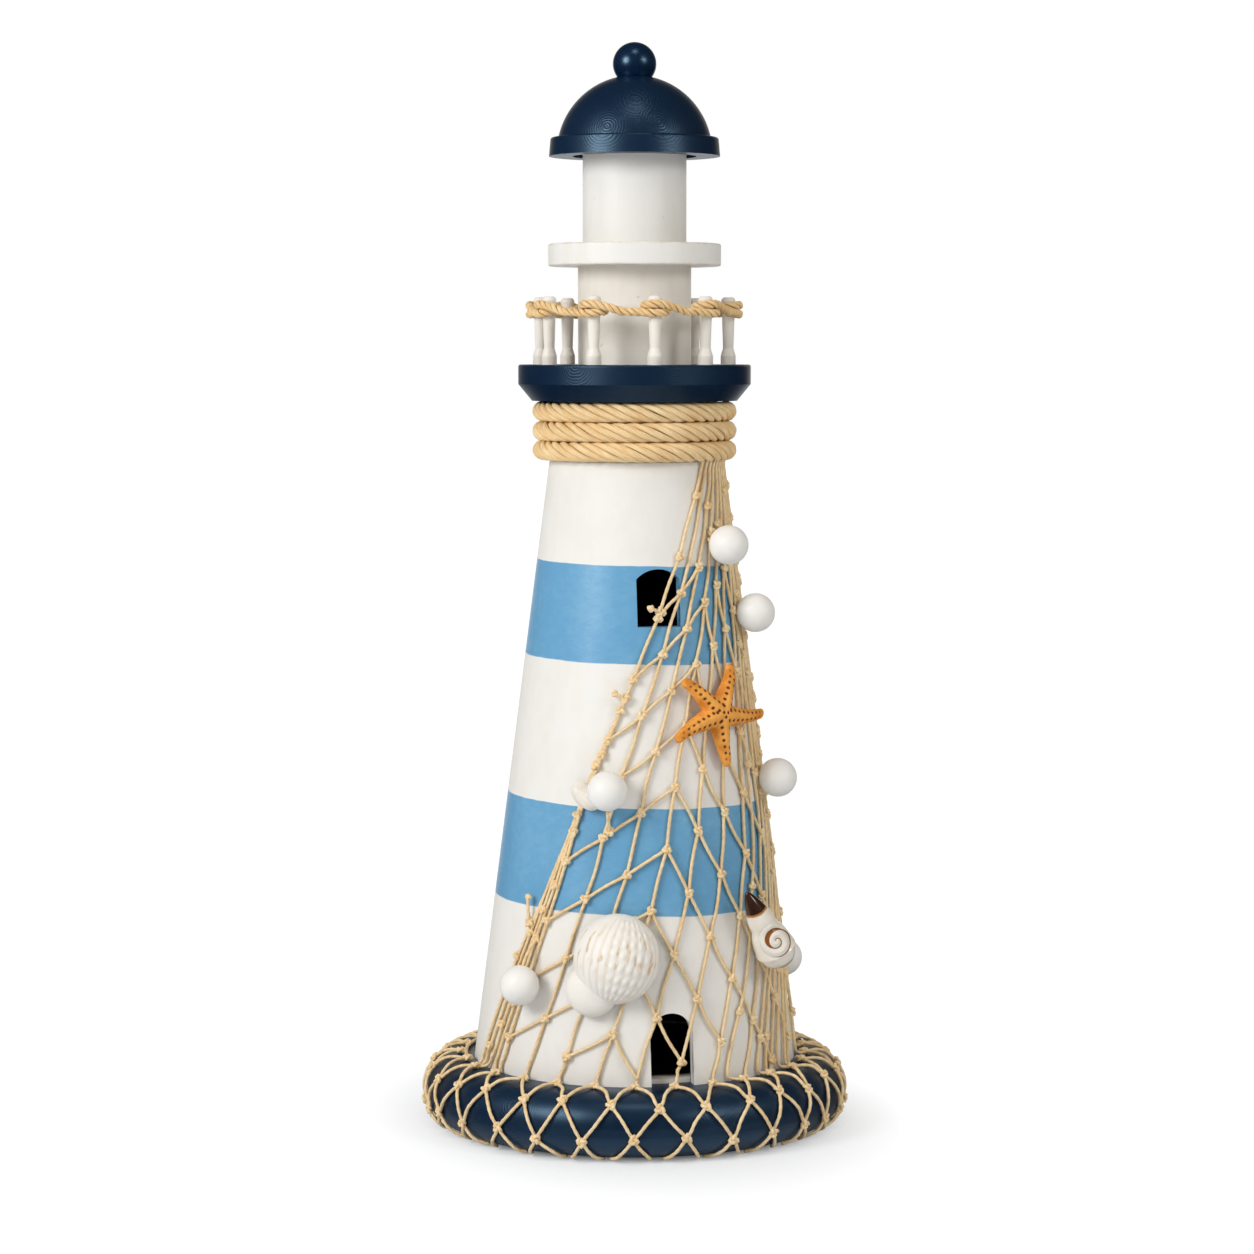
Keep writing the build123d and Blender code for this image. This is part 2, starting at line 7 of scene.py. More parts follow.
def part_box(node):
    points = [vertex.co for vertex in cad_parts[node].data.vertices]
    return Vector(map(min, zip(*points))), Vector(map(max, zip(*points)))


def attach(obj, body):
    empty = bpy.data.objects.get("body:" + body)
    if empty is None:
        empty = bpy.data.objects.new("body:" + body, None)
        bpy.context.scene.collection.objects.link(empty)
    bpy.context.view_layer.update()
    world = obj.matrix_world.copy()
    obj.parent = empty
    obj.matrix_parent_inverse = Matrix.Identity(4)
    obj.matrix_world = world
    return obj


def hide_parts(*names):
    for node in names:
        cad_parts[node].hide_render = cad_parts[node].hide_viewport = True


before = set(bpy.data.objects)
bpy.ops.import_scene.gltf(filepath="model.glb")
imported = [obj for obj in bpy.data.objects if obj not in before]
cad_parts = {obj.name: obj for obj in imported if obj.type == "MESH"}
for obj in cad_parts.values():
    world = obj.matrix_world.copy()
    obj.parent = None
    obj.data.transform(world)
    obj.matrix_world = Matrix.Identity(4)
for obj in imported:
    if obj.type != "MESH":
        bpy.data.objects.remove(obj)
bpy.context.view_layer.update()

scene = bpy.context.scene
scene.view_settings.view_transform = "Standard"

# Small helpers for places, selection and shader values


def aroundAxis(azimuth, radius, z):
    turn = math.radians(azimuth)
    return Vector((radius * math.sin(turn), -radius * math.cos(turn), z))


def eased(share):
    return share * share * (3 - 2 * share)


def within(low, value, high):
    return min(high, max(low, value))


def pickAlone(piece=None):
    if bpy.context.object and bpy.context.object.mode != "OBJECT":
        bpy.ops.object.mode_set(mode="OBJECT")
    bpy.ops.object.select_all(action="DESELECT")
    if piece:
        piece.select_set(True)
        bpy.context.view_layer.objects.active = piece


class shadeValue:
    # a value that changes over a surface; sums written with it become math nodes
    def __init__(self, tree, socket):
        self.tree, self.socket = tree, socket

    def __add__(self, other):
        return calc("ADD", self, other)

    def __sub__(self, other):
        return calc("SUBTRACT", self, other)

    def __rsub__(self, other):
        return calc("SUBTRACT", other, self)

    def __mul__(self, other):
        return calc("MULTIPLY", self, other)

    def __truediv__(self, other):
        return calc("DIVIDE", self, other)

    def __abs__(self):
        return calc("ABSOLUTE", self)

    __radd__, __rmul__ = __add__, __mul__


def feed(tree, socket, value):
    if isinstance(value, shadeValue):
        tree.links.new(value.socket, socket)
    else:
        socket.default_value = value


def addNode(tree, kind, inputs=None, **settings):
    node = tree.nodes.new(kind)
    for name, value in settings.items():
        setattr(node, name, value)
    for name, value in (inputs or {}).items():
        feed(tree, node.inputs[name], value)
    return node


def wire(tree, kind, output, inputs=None, **settings):
    return shadeValue(tree, addNode(tree, kind, inputs, **settings).outputs[output])


def calc(operation, *values, clamp=False):
    tree = next(value.tree for value in values if isinstance(value, shadeValue))
    return wire(tree, "ShaderNodeMath", 0, dict(enumerate(values)), operation=operation, use_clamp=clamp)


def blendColour(share, first, second):
    return wire(share.tree, "ShaderNodeMix", 2, {0: share, 6: first, 7: second}, data_type="RGBA")


def softStep(value, low, high):
    return wire(value.tree, "ShaderNodeMapRange", "Result", {"Value": value, "From Min": low, "From Max": high},
                interpolation_type="SMOOTHSTEP")


def stretched(place, scale):
    return wire(place.tree, "ShaderNodeVectorMath", 0, {0: place, 1: scale}, operation="MULTIPLY")


def measured(place, operation, other=(0, 0, 0)):
    return wire(place.tree, "ShaderNodeVectorMath", "Value", {0: place, 1: other}, operation=operation)


def noiseOf(place, scale, detail=3.0, roughness=0.55, distortion=0.0):
    return wire(place.tree, "ShaderNodeTexNoise", "Fac", {
        "Vector": place, "Scale": scale, "Detail": detail, "Roughness": roughness, "Distortion": distortion})


def splitParts(place):
    outputs = addNode(place.tree, "ShaderNodeSeparateXYZ", {"Vector": place}).outputs
    return [shadeValue(place.tree, socket) for socket in outputs]


def flatReach(x, y):
    return calc("SQRT", calc("POWER", x, 2.0) + calc("POWER", y, 2.0))


# Studio: pale floor, soft lamps and the camera of the photo

studio = {
    "floorRadius": 9.0, "floorLevel": -0.0002,
    "floorColour": (0.850, 0.895, 0.965, 1),
    "floorGlow": 0.40,          # share of plain white that the camera sees on the floor near the object
    "floorWhite": 1.08,
    "floorFade": (0.055, 0.122),  # distances over which that share grows to the whole
    "floorSquash": 0.75,        # how much nearer the floor before and behind the object counts for that
    "contactFade": (0.061, 0.078),  # distances over which it starts, from nothing under the base
    "worldColour": (1.0, 0.925, 0.810, 1),
    "worldStrength": 0.42,
    "frontGloss": 0.04,         # what shiny faces see of the dark room before the white backdrop
    "backdropEdge": (0.80, 1.0),
    "lens": 96.46, "sensor": 36.0, "clipEnd": 50,
    "cameraAzimuth": -13.5, "cameraDistance": 1.2465, "cameraHeight": 0.2885,
    "cameraPitch": 4.7636, "cameraYaw": 0.128,
    # azimuth, distance, height, size and watts of each softbox
    "lamps": {
        "keyLeft": (-62, 1.25, 0.74, 0.62, 10.6),
        "fillRight": (39, 1.35, 0.82, 0.46, 4.4),
        "topSoft": (-10, 0.55, 1.55, 0.46, 1.9),
    },
    "lampAim": 0.20,
}
plainWhite = (1, 1, 1, 1)


def behindObject(place):
    # 1 straight behind the object as the photo was taken, 0 to the sides and before it
    heading = wire(place.tree, "ShaderNodeVectorMath", 0, {0: place}, operation="NORMALIZE")
    backwards = aroundAxis(studio["cameraAzimuth"] + 180, 1, 0)
    return softStep(measured(heading, "DOT_PRODUCT", backwards), *studio["backdropEdge"])


def rayKinds(tree):
    rays = addNode(tree, "ShaderNodeLightPath").outputs
    kinds = ("Camera", "Transmission", "Glossy")
    seen, through, mirrored = [shadeValue(tree, rays[f"Is {kind} Ray"]) for kind in kinds]
    return calc("MAXIMUM", seen, through), mirrored


def makeStudioPaper():
    paper = bpy.data.materials.new("studioPaper")
    paper.use_nodes = True
    tree = paper.node_tree
    tree.nodes.remove(tree.nodes["Principled BSDF"])
    seen, mirrored = rayKinds(tree)
    spot = wire(tree, "ShaderNodeTexCoord", "Object")
    squashed = stretched(spot, (1.0, studio["floorSquash"], 1.0))
    fade = softStep(measured(squashed, "LENGTH"), *studio["floorFade"])
    share = studio["floorGlow"] + fade * (1 - studio["floorGlow"])
    share = share * softStep(measured(spot, "LENGTH"), *studio["contactFade"])
    share = calc("MAXIMUM", seen * share, mirrored * fade)
    strength = calc("MAXIMUM", seen * studio["floorWhite"], behindObject(spot))
    matt = wire(tree, "ShaderNodeBsdfDiffuse", 0, {"Color": studio["floorColour"]})
    glow = wire(tree, "ShaderNodeEmission", 0, {"Color": plainWhite, "Strength": strength})
    mixed = wire(tree, "ShaderNodeMixShader", 0, {0: share, 1: matt, 2: glow})
    feed(tree, tree.nodes["Material Output"].inputs["Surface"], mixed)
    return paper


def lightRoom():
    world = bpy.data.worlds.new("studioRoom")
    scene.world = world
    world.use_nodes = True
    tree = world.node_tree
    seen, mirrored = rayKinds(tree)
    mirror = studio["frontGloss"] + behindObject(wire(tree, "ShaderNodeTexCoord", "Generated"))
    level = wire(tree, "ShaderNodeMix", 0, {0: mirrored, 2: studio["worldStrength"], 3: mirror})
    backdrop = tree.nodes["Background"].inputs
    feed(tree, backdrop["Strength"], calc("MAXIMUM", level, seen))
    feed(tree, backdrop["Color"], blendColour(seen, studio["worldColour"], plainWhite))

    aim = Vector((0, 0, studio["lampAim"]))
    for name, (azimuth, distance, height, size, watts) in studio["lamps"].items():
        lamp = bpy.data.lights.new(name, "AREA")
        lamp.shape = "DISK"
        lamp.size = size
        lamp.energy = watts
        holder = bpy.data.objects.new(name, lamp)
        holder.location = aroundAxis(azimuth, distance, height)
        holder.rotation_euler = (aim - holder.location).to_track_quat("-Z", "Y").to_euler()
        scene.collection.objects.link(holder)


def buildStudio():
    pickAlone()
    bpy.ops.mesh.primitive_circle_add(vertices=96, radius=studio["floorRadius"], fill_type="NGON",
                                      location=(0, 0, studio["floorLevel"]))
    floor = bpy.context.object
    floor.name = "studioFloor"
    bpy.ops.object.transform_apply(location=True)
    floor.data.materials.append(makeStudioPaper())
    lightRoom()
    camera = bpy.data.objects.new("photoCamera", bpy.data.cameras.new("photoCamera"))
    camera.data.lens = studio["lens"]
    camera.data.sensor_width = studio["sensor"]
    camera.data.clip_end = studio["clipEnd"]
    camera.location = aroundAxis(studio["cameraAzimuth"], studio["cameraDistance"], studio["cameraHeight"])
    camera.rotation_euler = (math.radians(90 - studio["cameraPitch"]), 0,
                             math.radians(studio["cameraAzimuth"] + studio["cameraYaw"]))
    scene.collection.objects.link(camera)
    scene.camera = camera


buildStudio()
print("studio ready")

# Shared finishes as node groups

coatOutputs = {"Color": "Color", "Roughness": "Float", "Height": "Float"}


def newGroup(name, inputs, outputs):
    group = bpy.data.node_groups.new(name, "ShaderNodeTree")
    for way, sockets in (("INPUT", inputs), ("OUTPUT", outputs)):
        for label, kind in sockets.items():
            group.interface.new_socket(name=label, in_out=way, socket_type="NodeSocket" + kind)
    given = {socket.name: shadeValue(group, socket) for socket in addNode(group, "NodeGroupInput").outputs}
    return group, given, addNode(group, "NodeGroupOutput").inputs


def makeBrushCoat():
    # paint laid on wood by brush: long strokes, small pores and slow changes of tone
    group, given, out = newGroup("brushCoat", {
        "Vector": "Vector", "Stretch": "Vector", "Stroke": "Float", "Paint": "Color", "Thin": "Color",
        "Wear": "Float", "Sheen": "Float"}, coatOutputs)
    along = stretched(given["Vector"], given["Stretch"])
    strokes = noiseOf(along, given["Stroke"], 4.0, 0.6, 0.3)
    pores = noiseOf(along, given["Stroke"] * 5.0, 2.0)
    clouds = noiseOf(given["Vector"], 26.0, 3.0, 0.5)
    thin = softStep(strokes * 0.6 + clouds * 0.6, 0.52, 0.80)
    feed(group, out["Color"], blendColour(thin * given["Wear"], given["Paint"], given["Thin"]))
    rough = given["Sheen"] + (clouds - 0.5) * 0.22
    feed(group, out["Roughness"], calc("ADD", rough, (pores - 0.5) * 0.16, clamp=True))
    feed(group, out["Height"], strokes * 0.75 + pores * 0.25)
    return group


def makeRingFigure():
    # rings of wood figure that the paint lets through, round one eye on the turned face
    group, given, out = newGroup("ringFigure", {
        "Vector": "Vector", "Eye": "Vector", "Rings": "Float", "Warp": "Float", "Reach": "Float"},
        {"Height": "Float"})
    warp = noiseOf(given["Vector"], 140.0)
    reach = measured(given["Vector"], "DISTANCE", given["Eye"])
    near = calc("SUBTRACT", 1.0, reach / given["Reach"], clamp=True)
    feed(group, out["Height"], calc("SINE", reach * given["Rings"] + warp * given["Warp"]) * near)
    return group


def makeFibreLay():
    # plant fibre: streaks along the strand, and painted shade in the creases between strands
    group, given, out = newGroup("fibreLay", {
        "UV": "Vector", "Vector": "Vector", "Crown": "Float", "Pale": "Color", "Straw": "Color",
        "Crease": "Color", "Streaks": "Float"}, coatOutputs)
    along, across = splitParts(given["UV"])[:2]
    turn = across * (2 * math.pi)
    ring = wire(group, "ShaderNodeCombineXYZ", 0, {
        "X": calc("COSINE", turn) * given["Streaks"], "Y": calc("SINE", turn) * given["Streaks"],
        "Z": along * 0.16})
    streaks = noiseOf(ring, 1.0, 3.0, 0.65)
    patches = noiseOf(given["Vector"], 120.0, 2.0)
    colour = blendColour(softStep(streaks * 0.75 + patches * 0.35, 0.38, 0.72), given["Straw"], given["Pale"])
    # dark joins darker fibre streaks with painted shade where the crown is low, in the creases
    dark = calc("MAXIMUM", softStep(streaks, 0.36, 0.22) * 0.55, softStep(given["Crown"], 0.86, 0.62) * 0.90)
    feed(group, out["Color"], blendColour(dark, colour, given["Crease"]))
    feed(group, out["Roughness"], streaks * 0.25 + 0.62)
    feed(group, out["Height"], streaks)
    return group


brushCoat = makeBrushCoat()
ringFigure = makeRingFigure()
fibreLay = makeFibreLay()


def startMaterial(name):
    material = bpy.data.materials.new(name)
    material.use_nodes = True
    return material, wire(material.node_tree, "ShaderNodeTexCoord", "Object")


def useGroup(tree, group, **values):
    outputs = addNode(tree, "ShaderNodeGroup", values, node_tree=group).outputs
    return {socket.name: shadeValue(tree, socket) for socket in outputs}


def brushed(place, stretch, stroke, paint, thin, wear, sheen):
    return useGroup(place.tree, brushCoat, Vector=place, Stretch=stretch, Stroke=stroke, Paint=paint, Thin=thin,
                    Wear=wear, Sheen=sheen)


def marked(place, label):
    return wire(place.tree, "ShaderNodeAttribute", "Fac", attribute_name=label)


def finishPaint(material, colour, rough, height, strength, depth, **plain):
    # plain values of the shader are written without the spaces in their names
    tree = material.node_tree
    inputs = tree.nodes["Principled BSDF"].inputs
    bump = wire(tree, "ShaderNodeBump", 0, {"Strength": strength, "Distance": depth, "Height": height})
    for label, value in (("Base Color", colour), ("Roughness", rough), ("Normal", bump)):
        feed(tree, inputs[label], value)
    labels = {label.replace(" ", ""): label for label in inputs.keys()}
    for label, value in plain.items():
        inputs[labels[label]].default_value = value
    return material


navyCoat = {"paint": (0.0010, 0.0120, 0.0395, 1), "thin": (0.0020, 0.0172, 0.0490, 1), "wear": 0.8,
            "sheen": 0.39, "specular": 0.82, "gleam": (0.48, 0.76, 1.0, 1), "stroke": 300.0,
            "stretch": (1.0, 1.0, 3.2), "rings": 6200.0, "warp": 15.0}
whiteCoat = {"paint": (0.822, 0.813, 0.786, 1), "cream": (0.865, 0.830, 0.765, 1),
             "thin": (0.735, 0.695, 0.620, 1), "bare": (0.600, 0.455, 0.270, 1), "speck": (0.52, 0.40, 0.24, 1),
             "wear": 0.35, "sheen": 0.42, "specular": 0.34, "stroke": 210.0, "stretch": (1.0, 1.0, 0.35),
             "edge": 0.0011, "rubbed": 0.55}
blueCoat = {"paint": (0.136, 0.360, 0.592, 1), "thin": (0.175, 0.412, 0.628, 1)}


def makeNavyPaint(name, grain, eyes=(), reach=1.0, ringDepth=0.0, sheen=navyCoat["sheen"]):
    # grain is the depth of the strokes; eyes are the azimuth, radius and level of the middles of wood figure
    coat = navyCoat
    material, place = startMaterial(name)
    layer = brushed(place, coat["stretch"], coat["stroke"], coat["paint"], coat["thin"], coat["wear"], sheen)
    height = layer["Height"] * grain
    for eye in eyes:
        figure = useGroup(place.tree, ringFigure, Vector=place, Eye=aroundAxis(*eye), Rings=coat["rings"],
                          Warp=coat["warp"], Reach=reach)
        height = height + figure["Height"] * ringDepth
    return finishPaint(material, layer["Color"], layer["Roughness"], height, strength=0.40, depth=0.00010,
                       SpecularIORLevel=coat["specular"], SpecularTint=coat["gleam"])


def makeWhitePaint(name, paint, edges=()):
    # edges are the radius and level of turned edges, where the paint is rubbed thin
    coat = whiteCoat
    material, place = startMaterial(name)
    layer = brushed(place, coat["stretch"], coat["stroke"], paint, coat["thin"], coat["wear"], coat["sheen"])
    specks = softStep(noiseOf(place, 420.0, 1.0), 0.76, 0.80)
    colour = blendColour(specks * 0.35, layer["Color"], coat["speck"])
    if edges:
        x, y, height = splitParts(place)
        reach = flatReach(x, y)
        chips = softStep(noiseOf(stretched(place, (1, 1, 0.3)), 150.0, 4.0, 0.7), 0.40, 0.68)
    for radius, level in edges:
        near = calc("MAXIMUM", abs(height - level), abs(reach - radius))
        rubbed = softStep(near, coat["edge"], 0.0) * chips
        colour = blendColour(rubbed * coat["rubbed"], colour, coat["bare"])
    return finishPaint(material, colour, layer["Roughness"], layer["Height"], strength=0.40, depth=0.00018,
                       SpecularIORLevel=coat["specular"])


towerSkin = {"footRadius": 0.060, "shoulderRadius": 0.0315, "foot": 0.024, "shoulder": 0.2467, "wall": 0.0055}
towerRise = towerSkin["shoulder"] - towerSkin["foot"]
taperSlope = (towerSkin["footRadius"] - towerSkin["shoulderRadius"]) / towerRise
# the inside colour is near-black painted shade, for the inside of the tower and for its floor past the doorway
towerCoat = {"stretch": (1.0, 1.0, 0.5), "stroke": 150.0, "wear": 0.28, "sheen": 0.56, "specular": 0.36,
             "inside": (0.004, 0.004, 0.004, 1), "shadeInsideFrom": (0.0012, 0.0004), "floorFade": (0.0515, 0.0455)}
towerBands = {"spans": ((0.1744, 0.2096), (0.0847, 0.1229)), "tilt": 0.027, "wobble": 0.0011, "edge": 0.00018,
              "proud": 0.9, "strokes": 1.6, "stretch": (1.0, 1.0, 1.7), "stroke": 230.0, "wear": 0.9,
              "sheen": 0.32}


def makeTowerPaint():
    # white wood with two hand-painted blue bands, and painted shade: the inside of the tower is coloured
    # near-black
    coat, bands = towerCoat, towerBands
    material, place = startMaterial("towerPaint")
    x, y, height = splitParts(place)
    white = brushed(place, coat["stretch"], coat["stroke"], whiteCoat["paint"], whiteCoat["thin"], coat["wear"],
                    coat["sheen"])
    blue = brushed(place, bands["stretch"], bands["stroke"], blueCoat["paint"], blueCoat["thin"], bands["wear"],
                   bands["sheen"])
    side = math.radians(studio["cameraAzimuth"])
    across = x * math.cos(side) + y * math.sin(side)
    waver = noiseOf(stretched(place, (1, 1, 0.2)), 55.0) - 0.5
    level = height + across * bands["tilt"] + waver * bands["wobble"]
    edge = bands["edge"]
    upper, lower = [softStep(level, low - edge, low + edge) * softStep(level, high + edge, high - edge)
                    for low, high in bands["spans"]]
    band = upper + lower
    bare = 1.0 - band
    colour = blendColour(band, white["Color"], blue["Color"])
    reach = flatReach(x, y) + (height - towerSkin["foot"]) * taperSlope
    innerSkin = towerSkin["footRadius"] - towerSkin["wall"]
    # painted shade: the inside of the tower takes the near-black colour
    insideShadeMask = softStep(reach, *[innerSkin + margin for margin in coat["shadeInsideFrom"]])
    colour = blendColour(insideShadeMask, colour, coat["inside"])
    rough = calc("MAXIMUM", white["Roughness"] * bare + blue["Roughness"] * band, insideShadeMask)
    relief = white["Height"] * bare + blue["Height"] * band * bands["strokes"] + band * bands["proud"]
    return finishPaint(material, colour, rough, relief, strength=0.50, depth=0.00016,
                       SpecularIORLevel=coat["specular"])


def makeFloorPaintAndShade():
    # the floor's paint, with painted shade: a little way inside the doorway the floor turns near-black
    material, place = startMaterial("floorPaintAndShade")
    layer = brushed(place, (1.0, 1.0, 1.0), 210.0, whiteCoat["cream"], whiteCoat["thin"], 0.6, 0.6)
    floorShadeMask = softStep(flatReach(*splitParts(place)[:2]), *towerCoat["floorFade"])
    colour = blendColour(floorShadeMask, layer["Color"], towerCoat["inside"])
    return finishPaint(material, colour, layer["Roughness"], layer["Height"], strength=0.40, depth=0.00018,
                       SpecularIORLevel=0.2)


def makeBareWood():
    material, place = startMaterial("bareWood")
    grain = noiseOf(stretched(place, (1.0, 1.0, 0.06)), 900.0, 4.0, 0.6)
    pores = noiseOf(stretched(place, (1.0, 1.0, 0.03)), 2600.0, 2.0)
    tone = softStep(grain * 0.7 + pores * 0.3, 0.32, 0.70)
    colour = blendColour(tone, (0.42, 0.26, 0.12, 1), (0.66, 0.48, 0.28, 1))
    return finishPaint(material, colour, pores * 0.25 + 0.50, grain, strength=0.35, depth=0.00015)


def makeScrewSteel():
    material, place = startMaterial("screwSteel")
    marks = noiseOf(stretched(place, (1.0, 9.0, 1.0)), 700.0)
    colour = blendColour(marks, (0.46, 0.46, 0.47, 1), (0.66, 0.66, 0.67, 1))
    return finishPaint(material, colour, marks * 0.2 + 0.24, marks, strength=0.2, depth=0.00005, Metallic=1.0)


def makeFelt():
    material, place = startMaterial("darkFelt")
    nap = noiseOf(place, 1500.0, 4.0, 0.7)
    lint = noiseOf(stretched(place, (1.0, 0.3, 1.0)), 420.0)
    colour = blendColour(softStep(nap, 0.35, 0.7), (0.008, 0.009, 0.012, 1), (0.030, 0.032, 0.038, 1))
    return finishPaint(material, colour, lint * 0.14 + 0.84, nap, strength=0.8, depth=0.0003,
                       SpecularIORLevel=0.15, SheenWeight=0.25)


# pale and straw colours of each cord, and the colour of painted shade in its creases
ropeDye = ((0.930, 0.735, 0.440, 1), (0.770, 0.505, 0.230, 1), (0.340, 0.175, 0.055, 1))
railDye = ((0.910, 0.695, 0.395, 1), (0.755, 0.485, 0.215, 1), (0.300, 0.150, 0.045, 1))
twineDye = ((0.950, 0.775, 0.500, 1), (0.800, 0.560, 0.285, 1), (0.400, 0.225, 0.085, 1))


def makeFibre(name, dye, streaks, depth):
    material, place = startMaterial(name)
    lay = wire(place.tree, "ShaderNodeUVMap", 0, uv_map="lay")
    # the last dye colour is painted shade for the creases between strands
    pale, straw, creaseShade = dye
    fibre = useGroup(place.tree, fibreLay, UV=lay, Vector=place, Crown=marked(place, "crown"), Pale=pale,
                     Straw=straw, Crease=creaseShade, Streaks=streaks)
    return finishPaint(material, fibre["Color"], fibre["Roughness"], fibre["Height"], strength=0.75,
                       depth=depth, SpecularIORLevel=0.22)


# CAD pieces that keep their shape get their finish here

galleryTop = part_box("gallery_deck")[1][2]
deckBox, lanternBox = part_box("upper_deck"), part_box("lantern")
deckEdges = [(deckBox[1][0], corner[2]) for corner in deckBox]
baseEyes = [(azimuth, 0.074, 0.017) for azimuth in (-48, 10, 60)]
galleryEyes = [(azimuth, 0.0424, galleryTop) for azimuth in (-43, 7)]
domeEyes = [(-34.8, 0.027, 0.3675), (6.3, 0.0265, 0.3688), (-13.2, 0.020, 0.376)]
keptFinish = (
    (makeTowerPaint(), ["tower_shell"]),
    (makeFloorPaintAndShade(), ["tower_floor"]),
    (makeNavyPaint("navyBase", grain=0.5, eyes=baseEyes, reach=0.022, ringDepth=0.6), ["base_disc"]),
    (makeNavyPaint("navyGallery", grain=0.5, eyes=galleryEyes, reach=0.014, ringDepth=0.6), ["gallery_deck"]),
    (makeNavyPaint("navyDome", grain=0.4, eyes=domeEyes, reach=0.012, ringDepth=0.85), ["roof_dome"]),
    (makeNavyPaint("navyBall", grain=0.12, sheen=0.30), ["roof_ball"]),
    (makeWhitePaint("deckPaint", whiteCoat["paint"], deckEdges), ["upper_deck"]),
    (makeWhitePaint("lanternPaint", whiteCoat["paint"], [(lanternBox[1][0], deckBox[1][2])]), ["lantern"]),
    (makeWhitePaint("creamPaint", whiteCoat["cream"]),
     ["watch_room"] + [f"baluster_{number}" for number in range(1, 10)]),
    (makeBareWood(), ["tower_cap_plug", "gallery_dowel", "lantern_dowel", "ball_dowel", "roof_peg"]),
    (makeScrewSteel(), ["base_screws"]),
)
for finish, nodeNames in keptFinish:
    for nodeName in nodeNames:
        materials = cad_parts[nodeName].data.materials
        materials.clear()
        materials.append(finish)
print("finishes on", sum(len(nodeNames) for finish, nodeNames in keptFinish), "CAD pieces")

# Cords: a route on one smooth spline, read back as points, and twisted tubes along it


def towerRadius(z):
    return towerSkin["footRadius"] - taperSlope * (z - towerSkin["foot"])


def towerNormal(azimuth):
    level = aroundAxis(azimuth, 1, 0)
    return Vector((level.x, level.y, taperSlope)).normalized()


def onTower(azimuth, z, lift):
    return aroundAxis(azimuth, towerRadius(z), z) + towerNormal(azimuth) * lift


def splinePoints(route, steps):
    curve = bpy.data.curves.new("route", "CURVE")
    curve.dimensions = "3D"
    spline = curve.splines.new("NURBS")
    spline.points.add(len(route) - 1)
    for point, place in zip(spline.points, route):
        point.co = (*place, 1)
    spline.order_u = 3
    spline.use_endpoint_u = True
    spline.resolution_u = steps
    holder = bpy.data.objects.new("route", curve)
    mesh = bpy.data.meshes.new_from_object(holder)
    points = [vertex.co.copy() for vertex in mesh.vertices]
    bpy.data.objects.remove(holder)
    bpy.data.curves.remove(curve)
    bpy.data.meshes.remove(mesh)
    return points


def evenPoints(points, step):
    # points at even steps along the line, each one's mark on it, and the whole length
    marks = [0.0]
    for here, ahead in zip(points, points[1:]):
        marks.append(marks[-1] + (ahead - here).length)
    length = marks[-1]
    count = max(2, round(length / step))
    evenMarks = [length * number / count for number in range(count + 1)]
    even, index = [], 0
    for wanted in evenMarks:
        while index < len(marks) - 2 and marks[index + 1] < wanted:
            index += 1
        span = marks[index + 1] - marks[index]
        even.append(points[index].lerp(points[index + 1], (wanted - marks[index]) / span if span else 0))
    return even, evenMarks, length


def carriedFrames(points):
    # a side direction carried along the line without twisting
    frames, side = [], None
    for index, point in enumerate(points):
        ahead = points[min(index + 1, len(points) - 1)] - points[max(index - 1, 0)]
        ahead.normalize()
        if side is None:
            side = ahead.orthogonal()
        side = (side - ahead * side.dot(ahead)).normalized()
        frames.append((point, side, ahead.cross(side)))
    return frames


def newCordWork():
    # crown is each vertex's distance from the rope's middle, as a share of the most; plain twine has none
    return {"verts": [], "faces": [], "uv": [], "crown": []}


def addTube(work, frames, lengths, lobes, turns):
    # lobes are the radii round the section; turns is the twist at each ring
    first, sides = len(work["verts"]), len(lobes)
    marks = [length * 1000 for length in lengths]
    for (point, side, other), turn in zip(frames, turns):
        for number, radius in enumerate(lobes):
            angle = 2 * math.pi * number / sides + turn
            work["verts"].append(point + (side * math.cos(angle) + other * math.sin(angle)) * radius)
    for ring in range(len(frames) - 1):
        start, here, there = first + ring * sides, marks[ring], marks[ring + 1]
        for number in range(sides):
            after = (number + 1) % sides
            low, high = number / sides, (number + 1) / sides
            work["faces"].append((start + number, start + after, start + sides + after, start + sides + number))
            work["uv"].append(((here, low), (here, high), (there, high), (there, low)))
    last = first + (len(frames) - 1) * sides
    for start, mark, order in ((first, marks[0], range(sides)[::-1]), (last, marks[-1], range(sides))):
        work["faces"].append(tuple(start + number for number in order))
        work["uv"].append(tuple((mark, number / sides) for number in order))


def markPoints(mesh, label, marks):
    layer = mesh.attributes.new(label, "FLOAT", "POINT")
    for item, mark in zip(layer.data, marks):
        item.value = mark


def finishCord(name, work, material):
    mesh = bpy.data.meshes.new(name)
    mesh.from_pydata(work["verts"], [], work["faces"])
    layer = mesh.uv_layers.new(name="lay")
    for loop, place in zip(layer.data, [place for face in work["uv"] for place in face]):
        loop.uv = place
    markPoints(mesh, "crown", work["crown"] or [1.0] * len(work["verts"]))
    piece = bpy.data.objects.new(name, mesh)
    scene.collection.objects.link(piece)
    pickAlone(piece)
    bpy.ops.object.shade_smooth()
    mesh.materials.append(material)
    return piece


def dressPiece(piece, slotName, *nodeNames):
    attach(piece, "lighthouse")
    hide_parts(*nodeNames)


strandLay = {"endGap": 0.0006, "yarnLay": 0.8, "slackScale": 90}


